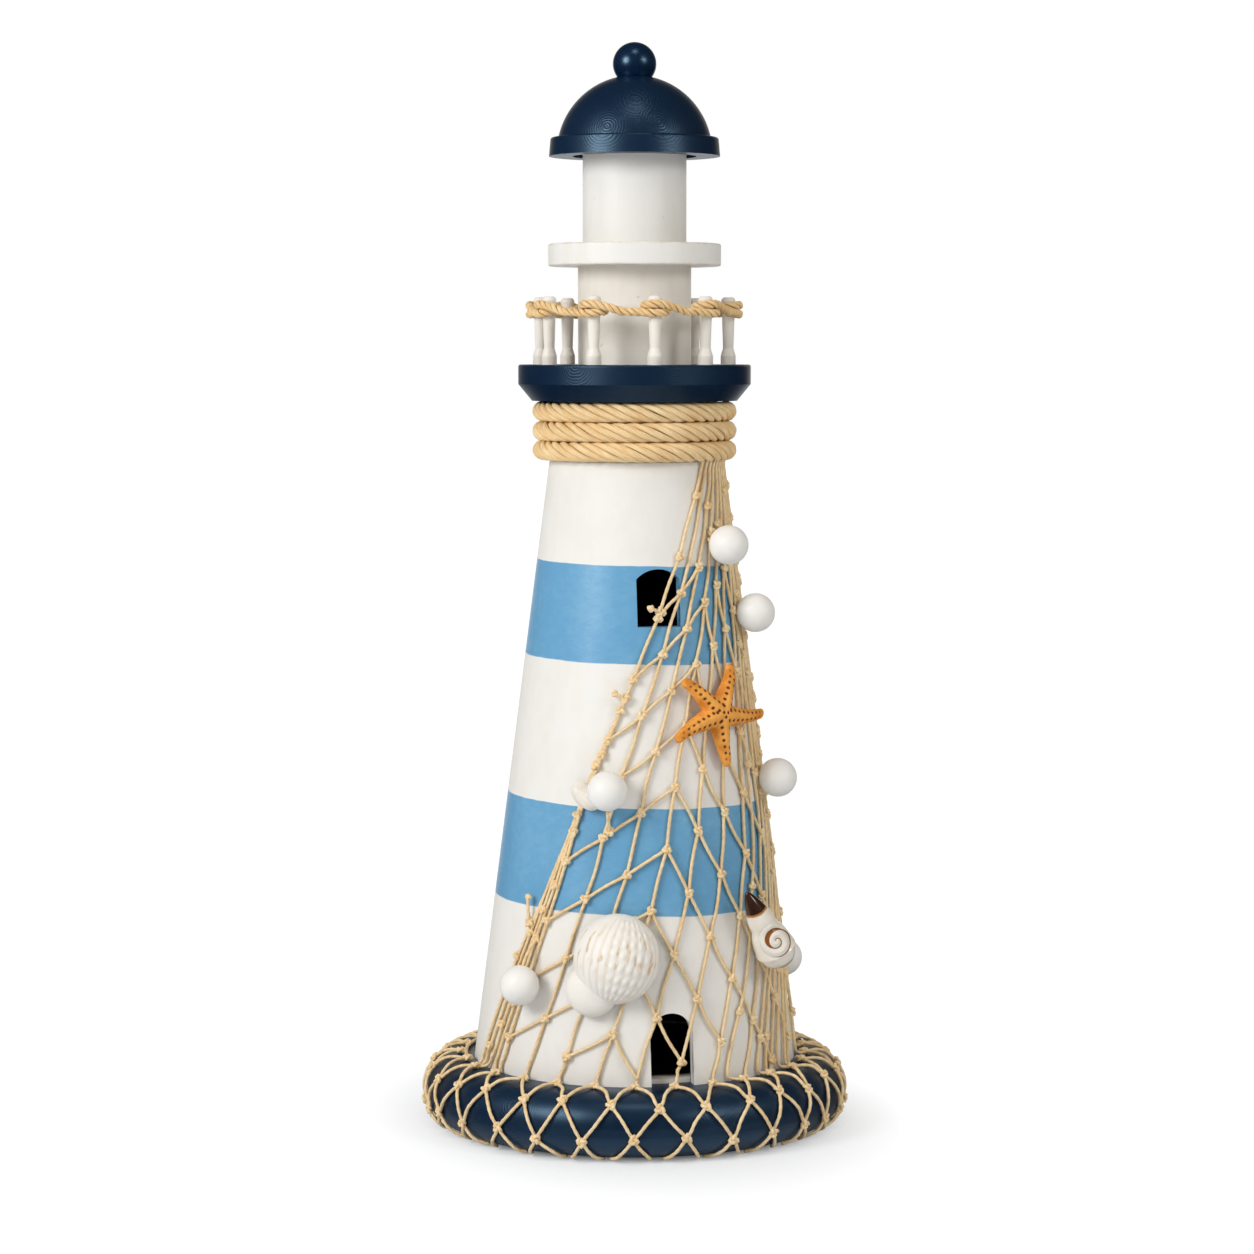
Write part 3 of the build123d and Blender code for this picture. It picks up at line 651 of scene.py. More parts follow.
def addStrands(work, points, step, rope):
    # strands laid round the line; both ends draw in to a tucked point
    line, marks, length = evenPoints(points, step)
    frames = carriedFrames(line)
    for strand in range(rope["strands"]):
        ring = []
        for (point, side, other), mark in zip(frames, marks):
            close = min(1.0, (min(mark, length - mark) + strandLay["endGap"]) / rope["tuck"]) ** 0.5
            angle = 2 * math.pi * (strand / rope["strands"] - rope["hand"] * mark / rope["lay"])
            angle += rope["slack"] * noise.noise(Vector((mark * strandLay["slackScale"], strand * 7.3, 0.4)))
            ring.append(point + (side * math.cos(angle) + other * math.sin(angle)) * rope["offset"] * close)
        yarn = -rope["hand"] * 2 * math.pi / (rope["lay"] * strandLay["yarnLay"])
        first = len(work["verts"])
        addTube(work, carriedFrames(ring), marks, [rope["strandRadius"]] * rope["sides"],
                [yarn * mark for mark in marks])
        for index, vertex in enumerate(work["verts"][first:]):
            reach = (vertex - line[index // rope["sides"]]).length
            work["crown"].append(reach / (rope["offset"] + rope["strandRadius"]))
    return length


def layRope(name, nodeName, route, steps, rope, fibre):
    work = newCordWork()
    length = addStrands(work, splinePoints(route, steps), rope["step"], rope)
    dressPiece(finishCord(name, work, fibre), "rope", nodeName)
    print(name, "length", round(length, 3))


def innerShare(angle):
    # the spline runs inside points that lie this angle apart, at this share of their distance
    return math.cos(math.radians(angle) / 2) ** 0.75


neckRope = {"centreRadius": 0.03425, "levels": (0.25058, 0.25773, 0.26488), "endAzimuth": 117,
            "climbAzimuth": 130, "turn": -13.5, "pointStep": 15, "wander": 0.00022, "strands": 6,
            "offset": 0.00242, "strandRadius": 0.00123, "lay": 0.031, "hand": -1, "slack": 0.20, "tuck": 0.006,
            "sides": 12, "step": 0.0009}


def makeNeckRope():
    rope = neckRope
    passes = len(rope["levels"])
    pitch = rope["levels"][1] - rope["levels"][0]
    radius = rope["centreRadius"] / innerShare(rope["pointStep"])
    route = []
    azimuth = -rope["endAzimuth"]
    while azimuth <= 360 * (passes - 1) + rope["endAzimuth"] + 0.1:
        before, part = divmod(azimuth, 360)
        climb = eased(within(0, (part - rope["climbAzimuth"]) / (360 - 2 * rope["climbAzimuth"]), 1))
        z = rope["levels"][0] + pitch * (before + climb if azimuth >= 0 else 0)
        nearestPass = math.floor((azimuth + 180) / 360)
        z += rope["wander"] * noise.noise(Vector((azimuth * 0.03, nearestPass * 3.1, 2.0)))
        route.append(aroundAxis(azimuth + rope["turn"], radius, z))
        azimuth += rope["pointStep"]
    fibre = makeFibre("ropeFibre", ropeDye, streaks=3.4, depth=0.00030)
    layRope("neckRope", "neck_rope", route, 6, rope, fibre)


# sagShape is a place along the span from its middle, and the share of the sag that is missing there
railRope = {"turnRadius": 0.00405, "low": 0.30060, "rise": 0.0034, "sag": 0.0013, "postCircle": 0.0354,
            "posts": (-148, -113, -75, -38, -1.5, 33, 87, 127, 168), "wrapPoints": 12,
            "sagShape": ((-0.16, 0.6), (0.0, 0.0), (0.16, 0.6)), "endLap": (0.0022, 0.0004), "strands": 3,
            "offset": 0.00078, "strandRadius": 0.00086, "lay": 0.0084, "hand": -1, "slack": 0.34, "tuck": 0.003,
            "sides": 8, "step": 0.00042}


def makeRailRope():
    rope = railRope
    posts = [aroundAxis(azimuth, rope["postCircle"], 0) for azimuth in rope["posts"]]
    spans = [after - post for post, after in zip(posts, posts[1:] + posts[:1])]
    headings = [span.normalized() for span in spans]
    outset = rope["turnRadius"] / innerShare(360 / rope["wrapPoints"])
    route = []
    for number, (post, span, heading) in enumerate(zip(posts, spans, headings)):
        arriving, leaving = [math.atan2(way.y, way.x) for way in (headings[number - 1], heading)]
        wrap = 2 * math.pi + (leaving - arriving) % (2 * math.pi)
        for step in range(rope["wrapPoints"] + 1):
            part = step / rope["wrapPoints"]
            turn = arriving + wrap * part
            side = Vector((math.sin(turn), -math.cos(turn), 0))
            route.append(post + side * outset + Vector((0, 0, rope["low"] + rope["rise"] * eased(part))))
        middle = post + span / 2 + Vector((heading.y, -heading.x, 0)) * rope["turnRadius"]
        level = rope["low"] + rope["rise"] / 2 - rope["sag"]
        for share, kept in rope["sagShape"]:
            lift = level + rope["sag"] * kept - share * rope["rise"]
            route.append(middle + span * share + Vector((0, 0, lift)))
    lap, drop = rope["endLap"]
    route.append(route[0] - headings[-1] * lap - Vector((0, 0, drop)))      # the end meets the start
    fibre = makeFibre("railFibre", railDye, streaks=2.6, depth=0.00016)
    layRope("railRope", "rail_rope", route, 4, rope, fibre)


makeNeckRope()
makeRailRope()

# Net: columns and rows of twine with a knot at every crossing

netLay = {"knee": 0.10796, "peak": 0.1084, "gatherAzimuth": 57.0, "gatherStep": 4.2, "kneeAzimuth": -0.2,
          "kneeStep": 13.6, "drift": 320.0, "gatherPower": 1.28, "firstColumn": -3, "lastColumn": 9,
          "edgeStarts": (0.158, 0.142, 0.127, 0.114), "edgeBlend": 0.026, "edgeStep": 1.15,
          "edgeDrift": 30.0, "bar": 0.0219, "leftStep": 0.009, "rightStep": 0.016, "top": 0.2453,
          "foot": 0.0254, "footTurn": 0.001, "footRadius": 0.0620, "footStart": 0.0004,
          "knotMargin": (0.002, 0.004), "neckTuck": (0.0024, 0.0036), "rowTop": 0.2140, "rowLift": 0.0002,
          "knotTop": 0.2200}
netFold = {"columns": (3.45, 4.35, 4.70, 5.30, 5.65), "step": 0.011, "sway": 3.0, "swayFrom": 0.05,
           "lift": 0.0003, "knot": 0.9}
# column, level, degrees across and rise of each cut end at the left edge
netCut = {"ends": ((-3, 0.1931, -5.6, 0.0012), (-3, 0.1622, -4.6, 0.0016), (-7, 0.0800, -0.4, 0.0090)),
          "bow": (0.5, 0.35, 0.0034), "tipLift": 0.0030, "tipKnot": 0.62, "footKnot": 1.15,
          "footKnotLift": 0.0008}
netTwine = {"radius": 0.00067, "sides": 8, "flat": 0.07, "lay": 0.0058, "step": 0.0008, "lift": 0.00095,
            "hold": 0.0019, "stray": 0.0009}
netKnot = {"lift": 0.0015, "size": 0.00225, "twine": 0.00072, "sides": 5, "steps": 15, "rise": 0.42,
           "draw": 0.62, "mark": 0.0011}
twineFibre = makeFibre("twineFibre", twineDye, streaks=1.5, depth=0.00016)
netRandom = random.Random(7)


def columnAzimuth(column, z):
    lay = netLay
    edge = max(0, lay["firstColumn"] - column)
    if edge:        # an edge twine leaves the first column at its own level
        away = edge * (lay["edgeStep"] + lay["edgeDrift"] * max(0, lay["knee"] - z))
        share = within(0, (lay["edgeStarts"][edge - 1] - z) / lay["edgeBlend"], 1)
        return columnAzimuth(lay["firstColumn"], z) - away * eased(share)
    knee = lay["kneeAzimuth"] + lay["kneeStep"] * column
    gather = lay["gatherAzimuth"] + lay["gatherStep"] * (column - 2)
    if z >= lay["knee"]:
        share = (z - lay["knee"]) / (towerSkin["shoulder"] - lay["knee"])
        return knee + (gather - knee) * share ** lay["gatherPower"]
    return knee - lay["drift"] * (lay["knee"] - z)


def rowLevel(column, row):
    return (netLay["peak"] + row * netLay["bar"] - netLay["rightStep"] * max(0, column)
            - netLay["leftStep"] * max(0, -column))


def addTwine(work, route):
    twine = netTwine
    line, marks, length = evenPoints(splinePoints(route, 4), twine["step"])
    lobes = [twine["radius"] * (1 + twine["flat"] * math.cos(4 * math.pi * number / twine["sides"]))
             for number in range(twine["sides"])]
    start = netRandom.uniform(0, 6.28)
    turns = [start + 2 * math.pi * mark / twine["lay"] for mark in marks]
    addTube(work, carriedFrames(line), marks, lobes, turns)
    return length


def addKnot(work, place, normal, scale=1.0):
    # an overhand knot drawn tight: a short trefoil of the same twine
    knot = netKnot
    size = knot["size"] * scale * knot["draw"]
    turn = netRandom.uniform(0, 6.28)
    side = normal.orthogonal().normalized()
    other = normal.cross(side)
    points = []
    for number in range(knot["steps"] + 1):
        t = 2 * math.pi * number / knot["steps"]
        x = (math.sin(t) + 2 * math.sin(2 * t)) / 3
        y = (math.cos(t) - 2 * math.cos(2 * t)) / 3
        z = -math.sin(3 * t) * knot["rise"]
        a = x * math.cos(turn) - y * math.sin(turn)
        b = x * math.sin(turn) + y * math.cos(turn)
        points.append(place + (side * a + other * b + normal * z) * size)
    marks = [knot["mark"] * number for number in range(len(points))]
    addTube(work, carriedFrames(points), marks, [knot["twine"]] * knot["sides"], [0] * len(points))


def towerKnot(work, azimuth, z, scale=1.0):
    addKnot(work, onTower(azimuth, z, netKnot["lift"]), towerNormal(azimuth), scale)


def barPlaces(knots):
    # places along one twine: close in to each knot, and a slack middle between two
    places = [knots[0]]
    for (fromAzimuth, fromZ), (toAzimuth, toZ) in zip(knots, knots[1:]):
        span = (onTower(toAzimuth, toZ, 0) - onTower(fromAzimuth, fromZ, 0)).length
        hold = min(0.3, netTwine["hold"] / span)
        stray = math.degrees(netRandom.uniform(-1, 1) * netTwine["stray"] / towerRadius(fromZ))
        for share, slack in ((hold, 0), (0.5, stray), (1 - hold, 0), (1, 0)):
            places.append((fromAzimuth + (toAzimuth - fromAzimuth) * share + slack,
                           fromZ + (toZ - fromZ) * share))
    return places


# bow is the shape of a slack twine between two knots: share of the way, share of the slack
baseNet = {"count": 30, "shift": -2.0, "spread": 4.1, "spreadCentre": -20.0, "mesh": 0.0123, "start": 0.0638,
           "topCentre": 0.0662, "topRound": 0.0115, "band": 0.003, "footRound": 0.0085, "deck": 0.024,
           "pad": 0.001, "lift": 0.00090, "knotLift": 0.00130, "tuckedLift": 0.00040, "tuckFrom": 0.0297,
           "lastTravel": 0.0353, "stray": (1.5, 0.0016), "slack": 1.5, "bulge": 0.0007, "knotScale": 1.12,
           "bow": ((0.14, 0), (0.32, 0.7), (0.55, 1), (0.70, 0.5), (0.86, 0.1), (1, 0)), "stringRadius": 0.0636,
           "stringStray": 0.0004, "stringRun": (108, 278, 10)}


def rimPlace(azimuth, travel, lift):
    # a place on the base's rim, by the distance along its section from the tower's foot
    rim = baseNet
    flat = rim["topCentre"] - rim["start"]
    topArc, footArc = [rim[name] * math.pi / 2 for name in ("topRound", "footRound")]
    edgeRadius = rim["topCentre"] + rim["topRound"]
    if travel < flat:
        return aroundAxis(azimuth, rim["start"] + travel, rim["deck"] + lift)
    travel -= flat
    if travel < topArc:
        angle = math.pi / 2 - travel / rim["topRound"]
        reach = rim["topRound"] + lift
        return aroundAxis(azimuth, rim["topCentre"] + reach * math.cos(angle),
                          rim["deck"] - rim["topRound"] + reach * math.sin(angle))
    travel -= topArc
    if travel < rim["band"]:
        return aroundAxis(azimuth, edgeRadius + lift, rim["deck"] - rim["topRound"] - travel)
    travel -= rim["band"]
    if travel < footArc:
        angle = -travel / rim["footRound"]
        reach = rim["footRound"] + lift
        return aroundAxis(azimuth, edgeRadius - rim["footRound"] + reach * math.cos(angle),
                          rim["pad"] + rim["footRound"] + reach * math.sin(angle))
    return aroundAxis(azimuth, edgeRadius - rim["footRound"] - (travel - footArc), rim["pad"] - lift)


def baseAzimuth(halfStep):
    # the meshes are drawn a little wider at the front than at the back
    even = halfStep * 180 / baseNet["count"] + baseNet["shift"]
    return even + baseNet["spread"] * math.sin(math.radians(even - baseNet["spreadCentre"]))


def footRun(azimuth):
    # from the tower's foot over the deck to the nearest start of the base net
    half = baseNet["count"] // 2
    starts = [baseAzimuth(2 * number) for number in range(-half, half + 1)]
    start = min(starts, key=lambda place: abs(place - azimuth))
    return [aroundAxis((azimuth * 2 + start) / 3, netLay["footRadius"], baseNet["deck"] + baseNet["lift"]),
            rimPlace(start, netLay["footStart"], baseNet["lift"])]


def addColumn(work, column, rows):
    lay, twine = netLay, netTwine
    edge = lay["firstColumn"] - column
    top = lay["edgeStarts"][edge - 1] if edge > 0 else lay["top"]
    levels = [rowLevel(column, row) for row in (rows[::-2] if edge > 0 else rows[::-1])]
    low, high = lay["knotMargin"]
    levels = [z for z in levels if lay["foot"] + low <= z <= top - high]
    levels = [top, *levels, lay["foot"] + lay["footTurn"]]
    knots = [(columnAzimuth(column, z), z) for z in levels]
    route = [onTower(azimuth, z, twine["lift"]) for azimuth, z in barPlaces(knots)]
    if edge <= 0:       # the top goes in under the neck rope
        out, up = lay["neckTuck"]
        route.insert(0, aroundAxis(knots[0][0], towerRadius(top) + out, top + up))
    length = addTwine(work, route + footRun(knots[-1][0]))
    for number, (azimuth, z) in enumerate(knots[0 if edge > 0 else 1:-1]):
        if z < lay["knotTop"] or (number + column) % 2:
            towerKnot(work, azimuth, z)
    return length


def addRow(work, row):
    lay = netLay
    total, run = 0, []
    for column in range(lay["firstColumn"], lay["lastColumn"] + 2):
        z = rowLevel(column, row)
        if lay["foot"] <= z <= lay["rowTop"] and column <= lay["lastColumn"]:
            run.append((columnAzimuth(column, z), z))
            continue
        if len(run) > 1:
            lift = netTwine["lift"] + lay["rowLift"]
            total += addTwine(work, [onTower(*place, lift) for place in barPlaces(run)])
        run = []
    return total


def addFoldTwine(work, column):
    # a loose twine of the fold that hangs between the columns on the right
    lay, fold = netLay, netFold
    route = []
    steps = math.ceil((lay["top"] - lay["foot"]) / fold["step"])
    for number in range(steps + 1):
        z = lay["top"] + (lay["foot"] + lay["footTurn"] - lay["top"]) * number / steps
        sway = fold["sway"] * noise.noise(Vector((z * 34, column * 5.7, 1.3)))
        azimuth = columnAzimuth(column, z) + sway * min(1, (lay["top"] - z) / fold["swayFrom"])
        route.append(onTower(azimuth, z, netTwine["lift"] + fold["lift"]))
        if number % 4 == int(column * 10) % 4 and 3 < number < steps:
            towerKnot(work, azimuth, z, fold["knot"])
    return addTwine(work, route + footRun(azimuth))


def addCutEnd(work, column, z, across, up):
    cut = netCut
    azimuth = columnAzimuth(column, z)
    normal = towerNormal(azimuth)
    foot = onTower(azimuth, z, netTwine["lift"])
    tip = onTower(azimuth + across, z + up, cut["tipLift"])
    sideways, upwards, lift = cut["bow"]
    middle = onTower(azimuth + across * sideways, z + up * upwards, lift)
    length = addTwine(work, [foot, middle, tip])
    addKnot(work, foot + normal * cut["footKnotLift"], normal, cut["footKnot"])
    addKnot(work, tip, normal, cut["tipKnot"])
    return length


def finishNet(name, nodeName, work, total):
    dressPiece(finishCord(name, work, twineFibre), "twine", nodeName)
    print(name, "twine", round(total, 2), "m,", len(work["faces"]), "faces")


def makeTowerNet():
    work = newCordWork()
    lay = netLay
    lowest = math.floor((lay["foot"] - lay["peak"]) / lay["bar"])
    highest = math.ceil((lay["top"] - lay["peak"] + lay["rightStep"] * lay["lastColumn"]) / lay["bar"])
    rows = range(lowest, highest + 1)
    columns = range(lay["firstColumn"] - len(lay["edgeStarts"]), lay["lastColumn"] + 1)
    total = sum(addColumn(work, column, rows) for column in columns)
    total += sum(addRow(work, row) for row in rows)
    total += sum(addFoldTwine(work, column) for column in netFold["columns"])
    total += sum(addCutEnd(work, *cut) for cut in netCut["ends"])
    finishNet("netOverTower", "net_over_tower", work, total)


def makeBaseNet():
    work = newCordWork()
    rim = baseNet
    levels = range(4)
    numbers = range(rim["count"])
    strays = {(number, level): [netRandom.uniform(-1, 1) * limit for limit in rim["stray"]]
              for number in numbers for level in levels}
    total = 0

    def knotAt(halfStep, level):
        # knots lie on half steps of the round; each one strays a little from the even lattice
        turns, part = divmod(halfStep, 2 * rim["count"])
        azimuth, travel = strays[(part // 2, level)]
        if level == 0:
            azimuth, travel = 0, max(0, travel)
        return baseAzimuth(part) + 360 * turns + azimuth, rim["mesh"] * level + travel

    def liftAt(travel):
        # the twine bulges off the rim between knots, and is drawn in tight under the base
        bulge = rim["bulge"] * math.sin(math.pi * travel / rim["mesh"]) ** 2
        tuck = within(0, (travel - rim["tuckFrom"]) / (rim["lastTravel"] - rim["tuckFrom"]), 1)
        return rim["lift"] + bulge * (1 - tuck) + (rim["tuckedLift"] - rim["lift"]) * tuck

    for number in numbers:
        for lean in (1, -1):
            stops = [knotAt(2 * number + lean * level, level) for level in levels]
            places = [stops[0]]
            for (fromAzimuth, fromTravel), (toAzimuth, toTravel) in zip(stops, stops[1:]):
                bow = netRandom.uniform(-0.3, 1.0) * rim["slack"] * lean
                for share, slack in rim["bow"]:
                    places.append((fromAzimuth + (toAzimuth - fromAzimuth) * share + slack * bow,
                                   fromTravel + (toTravel - fromTravel) * share))
            total += addTwine(work, [rimPlace(a, t, liftAt(t)) for a, t in places if t <= rim["lastTravel"]])
    for number in numbers:
        for level in levels[:-1]:
            azimuth, travel = knotAt(2 * number + level % 2, level)
            place = rimPlace(azimuth, travel, rim["knotLift"])
            addKnot(work, place, (place - rimPlace(azimuth, travel, 0)).normalized(), rim["knotScale"])
    # drawstring on the deck round the back, where no net hangs down the tower
    ring = [aroundAxis(azimuth, rim["stringRadius"] + rim["stringStray"] * netRandom.uniform(-1, 1),
                       rim["deck"] + rim["lift"]) for azimuth in range(*rim["stringRun"])]
    total += addTwine(work, ring)
    finishNet("netOverBase", "net_over_base", work, total)


makeTowerNet()
makeBaseNet()

# Ornaments: each one is modelled flat at the origin and then set on the tower where its CAD piece sits


def seatOf(nodeName, azimuth, share, turn):
    foot = onTower(azimuth, towerSkin["foot"] + share * towerRise, 0)
    normal = towerNormal(azimuth)
    lift = min((vertex.co - foot).dot(normal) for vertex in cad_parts[nodeName].data.vertices)
    level = aroundAxis(azimuth + 90, 1, 0)
    seat = Matrix((level, normal.cross(level), normal)).transposed().to_4x4()
    seat.translation = foot + normal * lift
    return seat @ Matrix.Rotation(math.radians(turn), 4, "Z")


def settlePiece(piece, name, seat, material):
    piece.name = piece.data.name = name
    piece.data.transform(seat)
    piece.data.update()
    piece.data.materials.clear()
    piece.data.materials.append(material)


def editMode(piece, select="DESELECT"):
    pickAlone(piece)
    bpy.ops.object.mode_set(mode="EDIT")
    bpy.ops.mesh.select_all(action=select)


def selectWhere(piece, parts, test):
    # selects faces or edges by the places of their corners, and goes into edit mode
    editMode(piece)
    bpy.ops.object.mode_set(mode="OBJECT")
    for part in parts:
        part.select = all(test(piece.data.vertices[corner].co) for corner in part.vertices)
    bpy.ops.object.mode_set(mode="EDIT")


def mendMesh(piece, distance):
    editMode(piece, "SELECT")
    bpy.ops.mesh.remove_doubles(threshold=distance)
    bpy.ops.mesh.normals_make_consistent(inside=False)
    bpy.ops.object.mode_set(mode="OBJECT")


def smoothed(angle):
    bpy.ops.object.shade_smooth_by_angle(angle=math.radians(angle))


def ringedDisc(around, rings, inner):
    # a disc of even rings, drawn in from a circle of radius 1 to a small share in the middle
    pickAlone()
    bpy.ops.mesh.primitive_circle_add(vertices=around, radius=1.0, fill_type="NOTHING")
    bpy.ops.object.mode_set(mode="EDIT")
    bpy.ops.mesh.select_mode(type="VERT")
    bpy.ops.mesh.select_all(action="SELECT")
    for ring in range(rings):
        bpy.ops.mesh.extrude_region_move()
        factor = (rings - ring - 1 + inner) / (rings - ring + inner)
        bpy.ops.transform.resize(value=(factor, factor, 1))
    bpy.ops.mesh.merge(type="CENTER")
    bpy.ops.object.mode_set(mode="OBJECT")
    return bpy.context.object


# places are each float's azimuth, and how far its hole turns from the tower's side up along the tower
netFloat = {"segments": 48, "rings": 28, "holeAngle": 9.0, "holeEdge": 0.0004, "holeDepth": 0.0042,
            "tieLength": 0.0085, "tieReach": (0.003, 0.0009), "tieSlack": (0.55, 0.2), "tieKnot": 0.0004,
            "settle": 0.0017, "spin": 37, "paint": (0.875, 0.865, 0.840, 1),
            "thin": (0.800, 0.775, 0.730, 1), "stroke": 260.0, "wear": 0.35, "sheen": 0.44, "specular": 0.38,
            "places": ((37.5, 20), (58.3, 25), (61.1, 20), (-23.7, -78), (-54.0, 84), (104.6, 20))}


def makeFloatPaint():
    look = netFloat
    material, place = startMaterial("floatPaint")
    layer = brushed(place, (1.0, 1.0, 1.0), look["stroke"], look["paint"], look["thin"], look["wear"],
                    look["sheen"])
    return finishPaint(material, layer["Color"], layer["Roughness"], layer["Height"], strength=0.30,
                       depth=0.00012, SpecularIORLevel=look["specular"])


def modelFloat(radius):
    # a turned ball with a blind hole on its axis, where the tie is glued in
    pickAlone()
    bpy.ops.mesh.primitive_uv_sphere_add(segments=netFloat["segments"], ring_count=netFloat["rings"],
                                         radius=radius)
    ball = bpy.context.object
    edge = radius * math.cos(math.radians(netFloat["holeAngle"])) - 1e-5
    selectWhere(ball, ball.data.polygons, lambda corner: corner.z > edge)
    bpy.ops.mesh.select_mode(type="FACE")
    for depth in (netFloat["holeEdge"], netFloat["holeDepth"]):
        bpy.ops.mesh.extrude_region_move(TRANSFORM_OT_translate={"value": (0, 0, -depth)})
    pickAlone(ball)
    smoothed(40)
    return ball


def floatBox(number):
    lowest, highest = [Vector(corner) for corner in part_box(f"float_{number}")]
    return (lowest + highest) / 2, (highest.x - lowest.x) / 2


def makeFloats():
    paint = makeFloatPaint()
    pattern = modelFloat(floatBox(1)[1])
    ties = newCordWork()
    for number, (azimuth, tilt) in enumerate(netFloat["places"], 1):
        centre, radius = floatBox(number)
        normal = towerNormal(azimuth)
        centre -= normal * netFloat["settle"]
        level = aroundAxis(azimuth + 90, 1, 0)
        up = normal.cross(level)
        turn = math.radians(tilt)
        hole = up * math.sin(turn) - normal * math.cos(turn)
        seat = Matrix((level, hole.cross(level), hole)).transposed().to_4x4()
        seat = seat @ Matrix.Rotation(math.radians(netFloat["spin"] * number), 4, "Z")
        seat.translation = centre
        ball = pattern.copy()
        ball.data = pattern.data.copy()
        scene.collection.objects.link(ball)
        settlePiece(ball, f"netFloat{number}", seat, paint)
        dressPiece(ball, "float_white", f"float_{number}")
        mouth = centre + hole * radius
        reach = netFloat["tieLength"] * math.sin(turn)
        hold = onTower(azimuth, mouth.z + reach, netTwine["lift"])
        inside, outside = netFloat["tieReach"]
        share, rise = netFloat["tieSlack"]
        slack = mouth.lerp(hold, share) + up * reach * rise
        addTwine(ties, [mouth - hole * inside, mouth + hole * outside, slack, hold])
        addKnot(ties, hold + normal * netFloat["tieKnot"], normal)
    bpy.data.objects.remove(pattern)
    piece = finishCord("floatTies", ties, twineFibre)
    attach(piece, "lighthouse")
    print("floats and their ties done")


makeFloats()

starfish = {"azimuth": 26.4, "share": 0.5895, "angles": (-9, 60, 133, 194, 273),
            "reach": (0.0222, 0.0197, 0.0201, 0.0220, 0.0192), "waist": 0.0050, "armWidth": 0.0019,
            "tip": 0.0019, "crown": 0.0050, "rim": 0.0006, "span": 0.020, "fall": 0.42, "bend": 0.10,
            "pitRadius": 0.00070, "pitDepth": 0.00050, "pitStep": 0.00235, "pitRun": (0.0026, 0.0014),
            "pitSide": 0.46, "pitStagger": 0.0003, "middlePits": (0.4, 2.5, 4.6), "middleReach": 0.0011,
            "edgeSearch": (0.001, 0.00004), "around": 360, "rings": 44,
            "dark": (0.650, 0.220, 0.022, 1), "light": (0.890, 0.380, 0.064, 1),
            # pit is the colour of painted shade in the pits
            "ridge": (0.920, 0.445, 0.095, 1), "pit": (0.120, 0.034, 0.008, 1)}


def makeStarSkin():
    material, place = startMaterial("starSkin")
    grains = noiseOf(place, 900.0, 3.0, 0.6)
    clouds = noiseOf(place, 210.0, 3.0, 0.6)
    colour = blendColour(softStep(clouds, 0.36, 0.66), starfish["dark"], starfish["light"])
    colour = blendColour(softStep(marked(place, "ridge"), 0.35, 0.95) * 0.55, colour, starfish["ridge"])
    # painted shade: the pits are darkened to near-black brown
    colour = blendColour(softStep(marked(place, "pit"), 0.30, 0.75), colour, starfish["pit"])
    return finishPaint(material, colour, grains * 0.3 + 0.50, grains, strength=0.45, depth=0.00016,
                       SpecularIORLevel=0.30)


def armHalfWidth(along, reach):
    star = starfish
    straight = reach - star["tip"]
    if along > straight:
        over = (along - straight) / star["tip"]
        return star["armWidth"] * math.sqrt(max(0, 1 - over * over))
    share = max(0, along) / straight
    return star["armWidth"] + (star["waist"] - star["armWidth"]) * (1 - share) ** 1.35


def starEdge(angle):
    # how far the star reaches at this angle, found along the nearest arm
    gaps = [abs((angle - math.radians(arm) + math.pi) % (2 * math.pi) - math.pi) for arm in starfish["angles"]]
    gap, reach = min(zip(gaps, starfish["reach"]))
    radius, step = starfish["edgeSearch"]
    while radius < reach and radius * math.sin(gap) <= armHalfWidth(radius * math.cos(gap), reach):
        radius += step
    return radius


def starPits():
    star = starfish
    pits = []
    for angle, reach in zip(star["angles"], star["reach"]):
        heading = Vector((math.cos(math.radians(angle)), math.sin(math.radians(angle))))
        across = Vector((-heading.y, heading.x))
        along, end = star["pitRun"]
        while along < reach - end:
            wide = armHalfWidth(along, reach) * star["pitSide"]
            for side in (1, -1):
                pits.append(heading * (along + side * star["pitStagger"]) + across * wide * side)
            along += star["pitStep"]
    for turn in star["middlePits"]:
        pits.append(Vector((math.cos(turn), math.sin(turn))) * star["middleReach"])
    return pits


def makeStarfish():
    star = starfish
    pits = starPits()
    piece = ringedDisc(star["around"], star["rings"], 0.6)
    edges = {}
    pitShadeMarks, ridgeMarks = [], []
    for vertex in piece.data.vertices:
        angle = math.atan2(vertex.co.y, vertex.co.x)
        share = min(1, vertex.co.xy.length)
        key = round(angle * star["around"] / (2 * math.pi))
        if key not in edges:
            edges[key] = starEdge(angle)
        flat = Vector((math.cos(angle), math.sin(angle))) * edges[key] * share
        nearest = min((flat - pit).length for pit in pits) / star["pitRadius"]
        pit = math.exp(-nearest ** 2)
        swell = max(0, 1 - share ** 2.2) ** 0.62
        out = flat.length / star["span"]
        bend = star["bend"] * out ** 2
        height = star["crown"] * swell * (1 - star["fall"] * out) - star["pitDepth"] * pit * swell + star["rim"]
        vertex.co = Vector((flat.x * math.cos(bend) - flat.y * math.sin(bend),
                            flat.x * math.sin(bend) + flat.y * math.cos(bend), height))
        pitShadeMarks.append(pit * min(1, swell * 1.6))
        ridgeMarks.append(swell)
    markPoints(piece.data, "pit", pitShadeMarks)
    markPoints(piece.data, "ridge", ridgeMarks)
    editMode(piece)      # a flat underside closes the star
    bpy.ops.mesh.select_mode(type="EDGE")
    bpy.ops.mesh.select_non_manifold()
    bpy.ops.mesh.extrude_region_move(TRANSFORM_OT_translate={"value": (0, 0, -star["rim"])})
    bpy.ops.mesh.edge_face_add()
    mendMesh(piece, 1e-6)
    smoothed(60)
    settlePiece(piece, "netStarfish", seatOf("starfish", star["azimuth"], star["share"], 0), makeStarSkin())
    dressPiece(piece, "starfish_orange", "starfish")
    print("starfish with", len(pits), "pits")


makeStarfish()


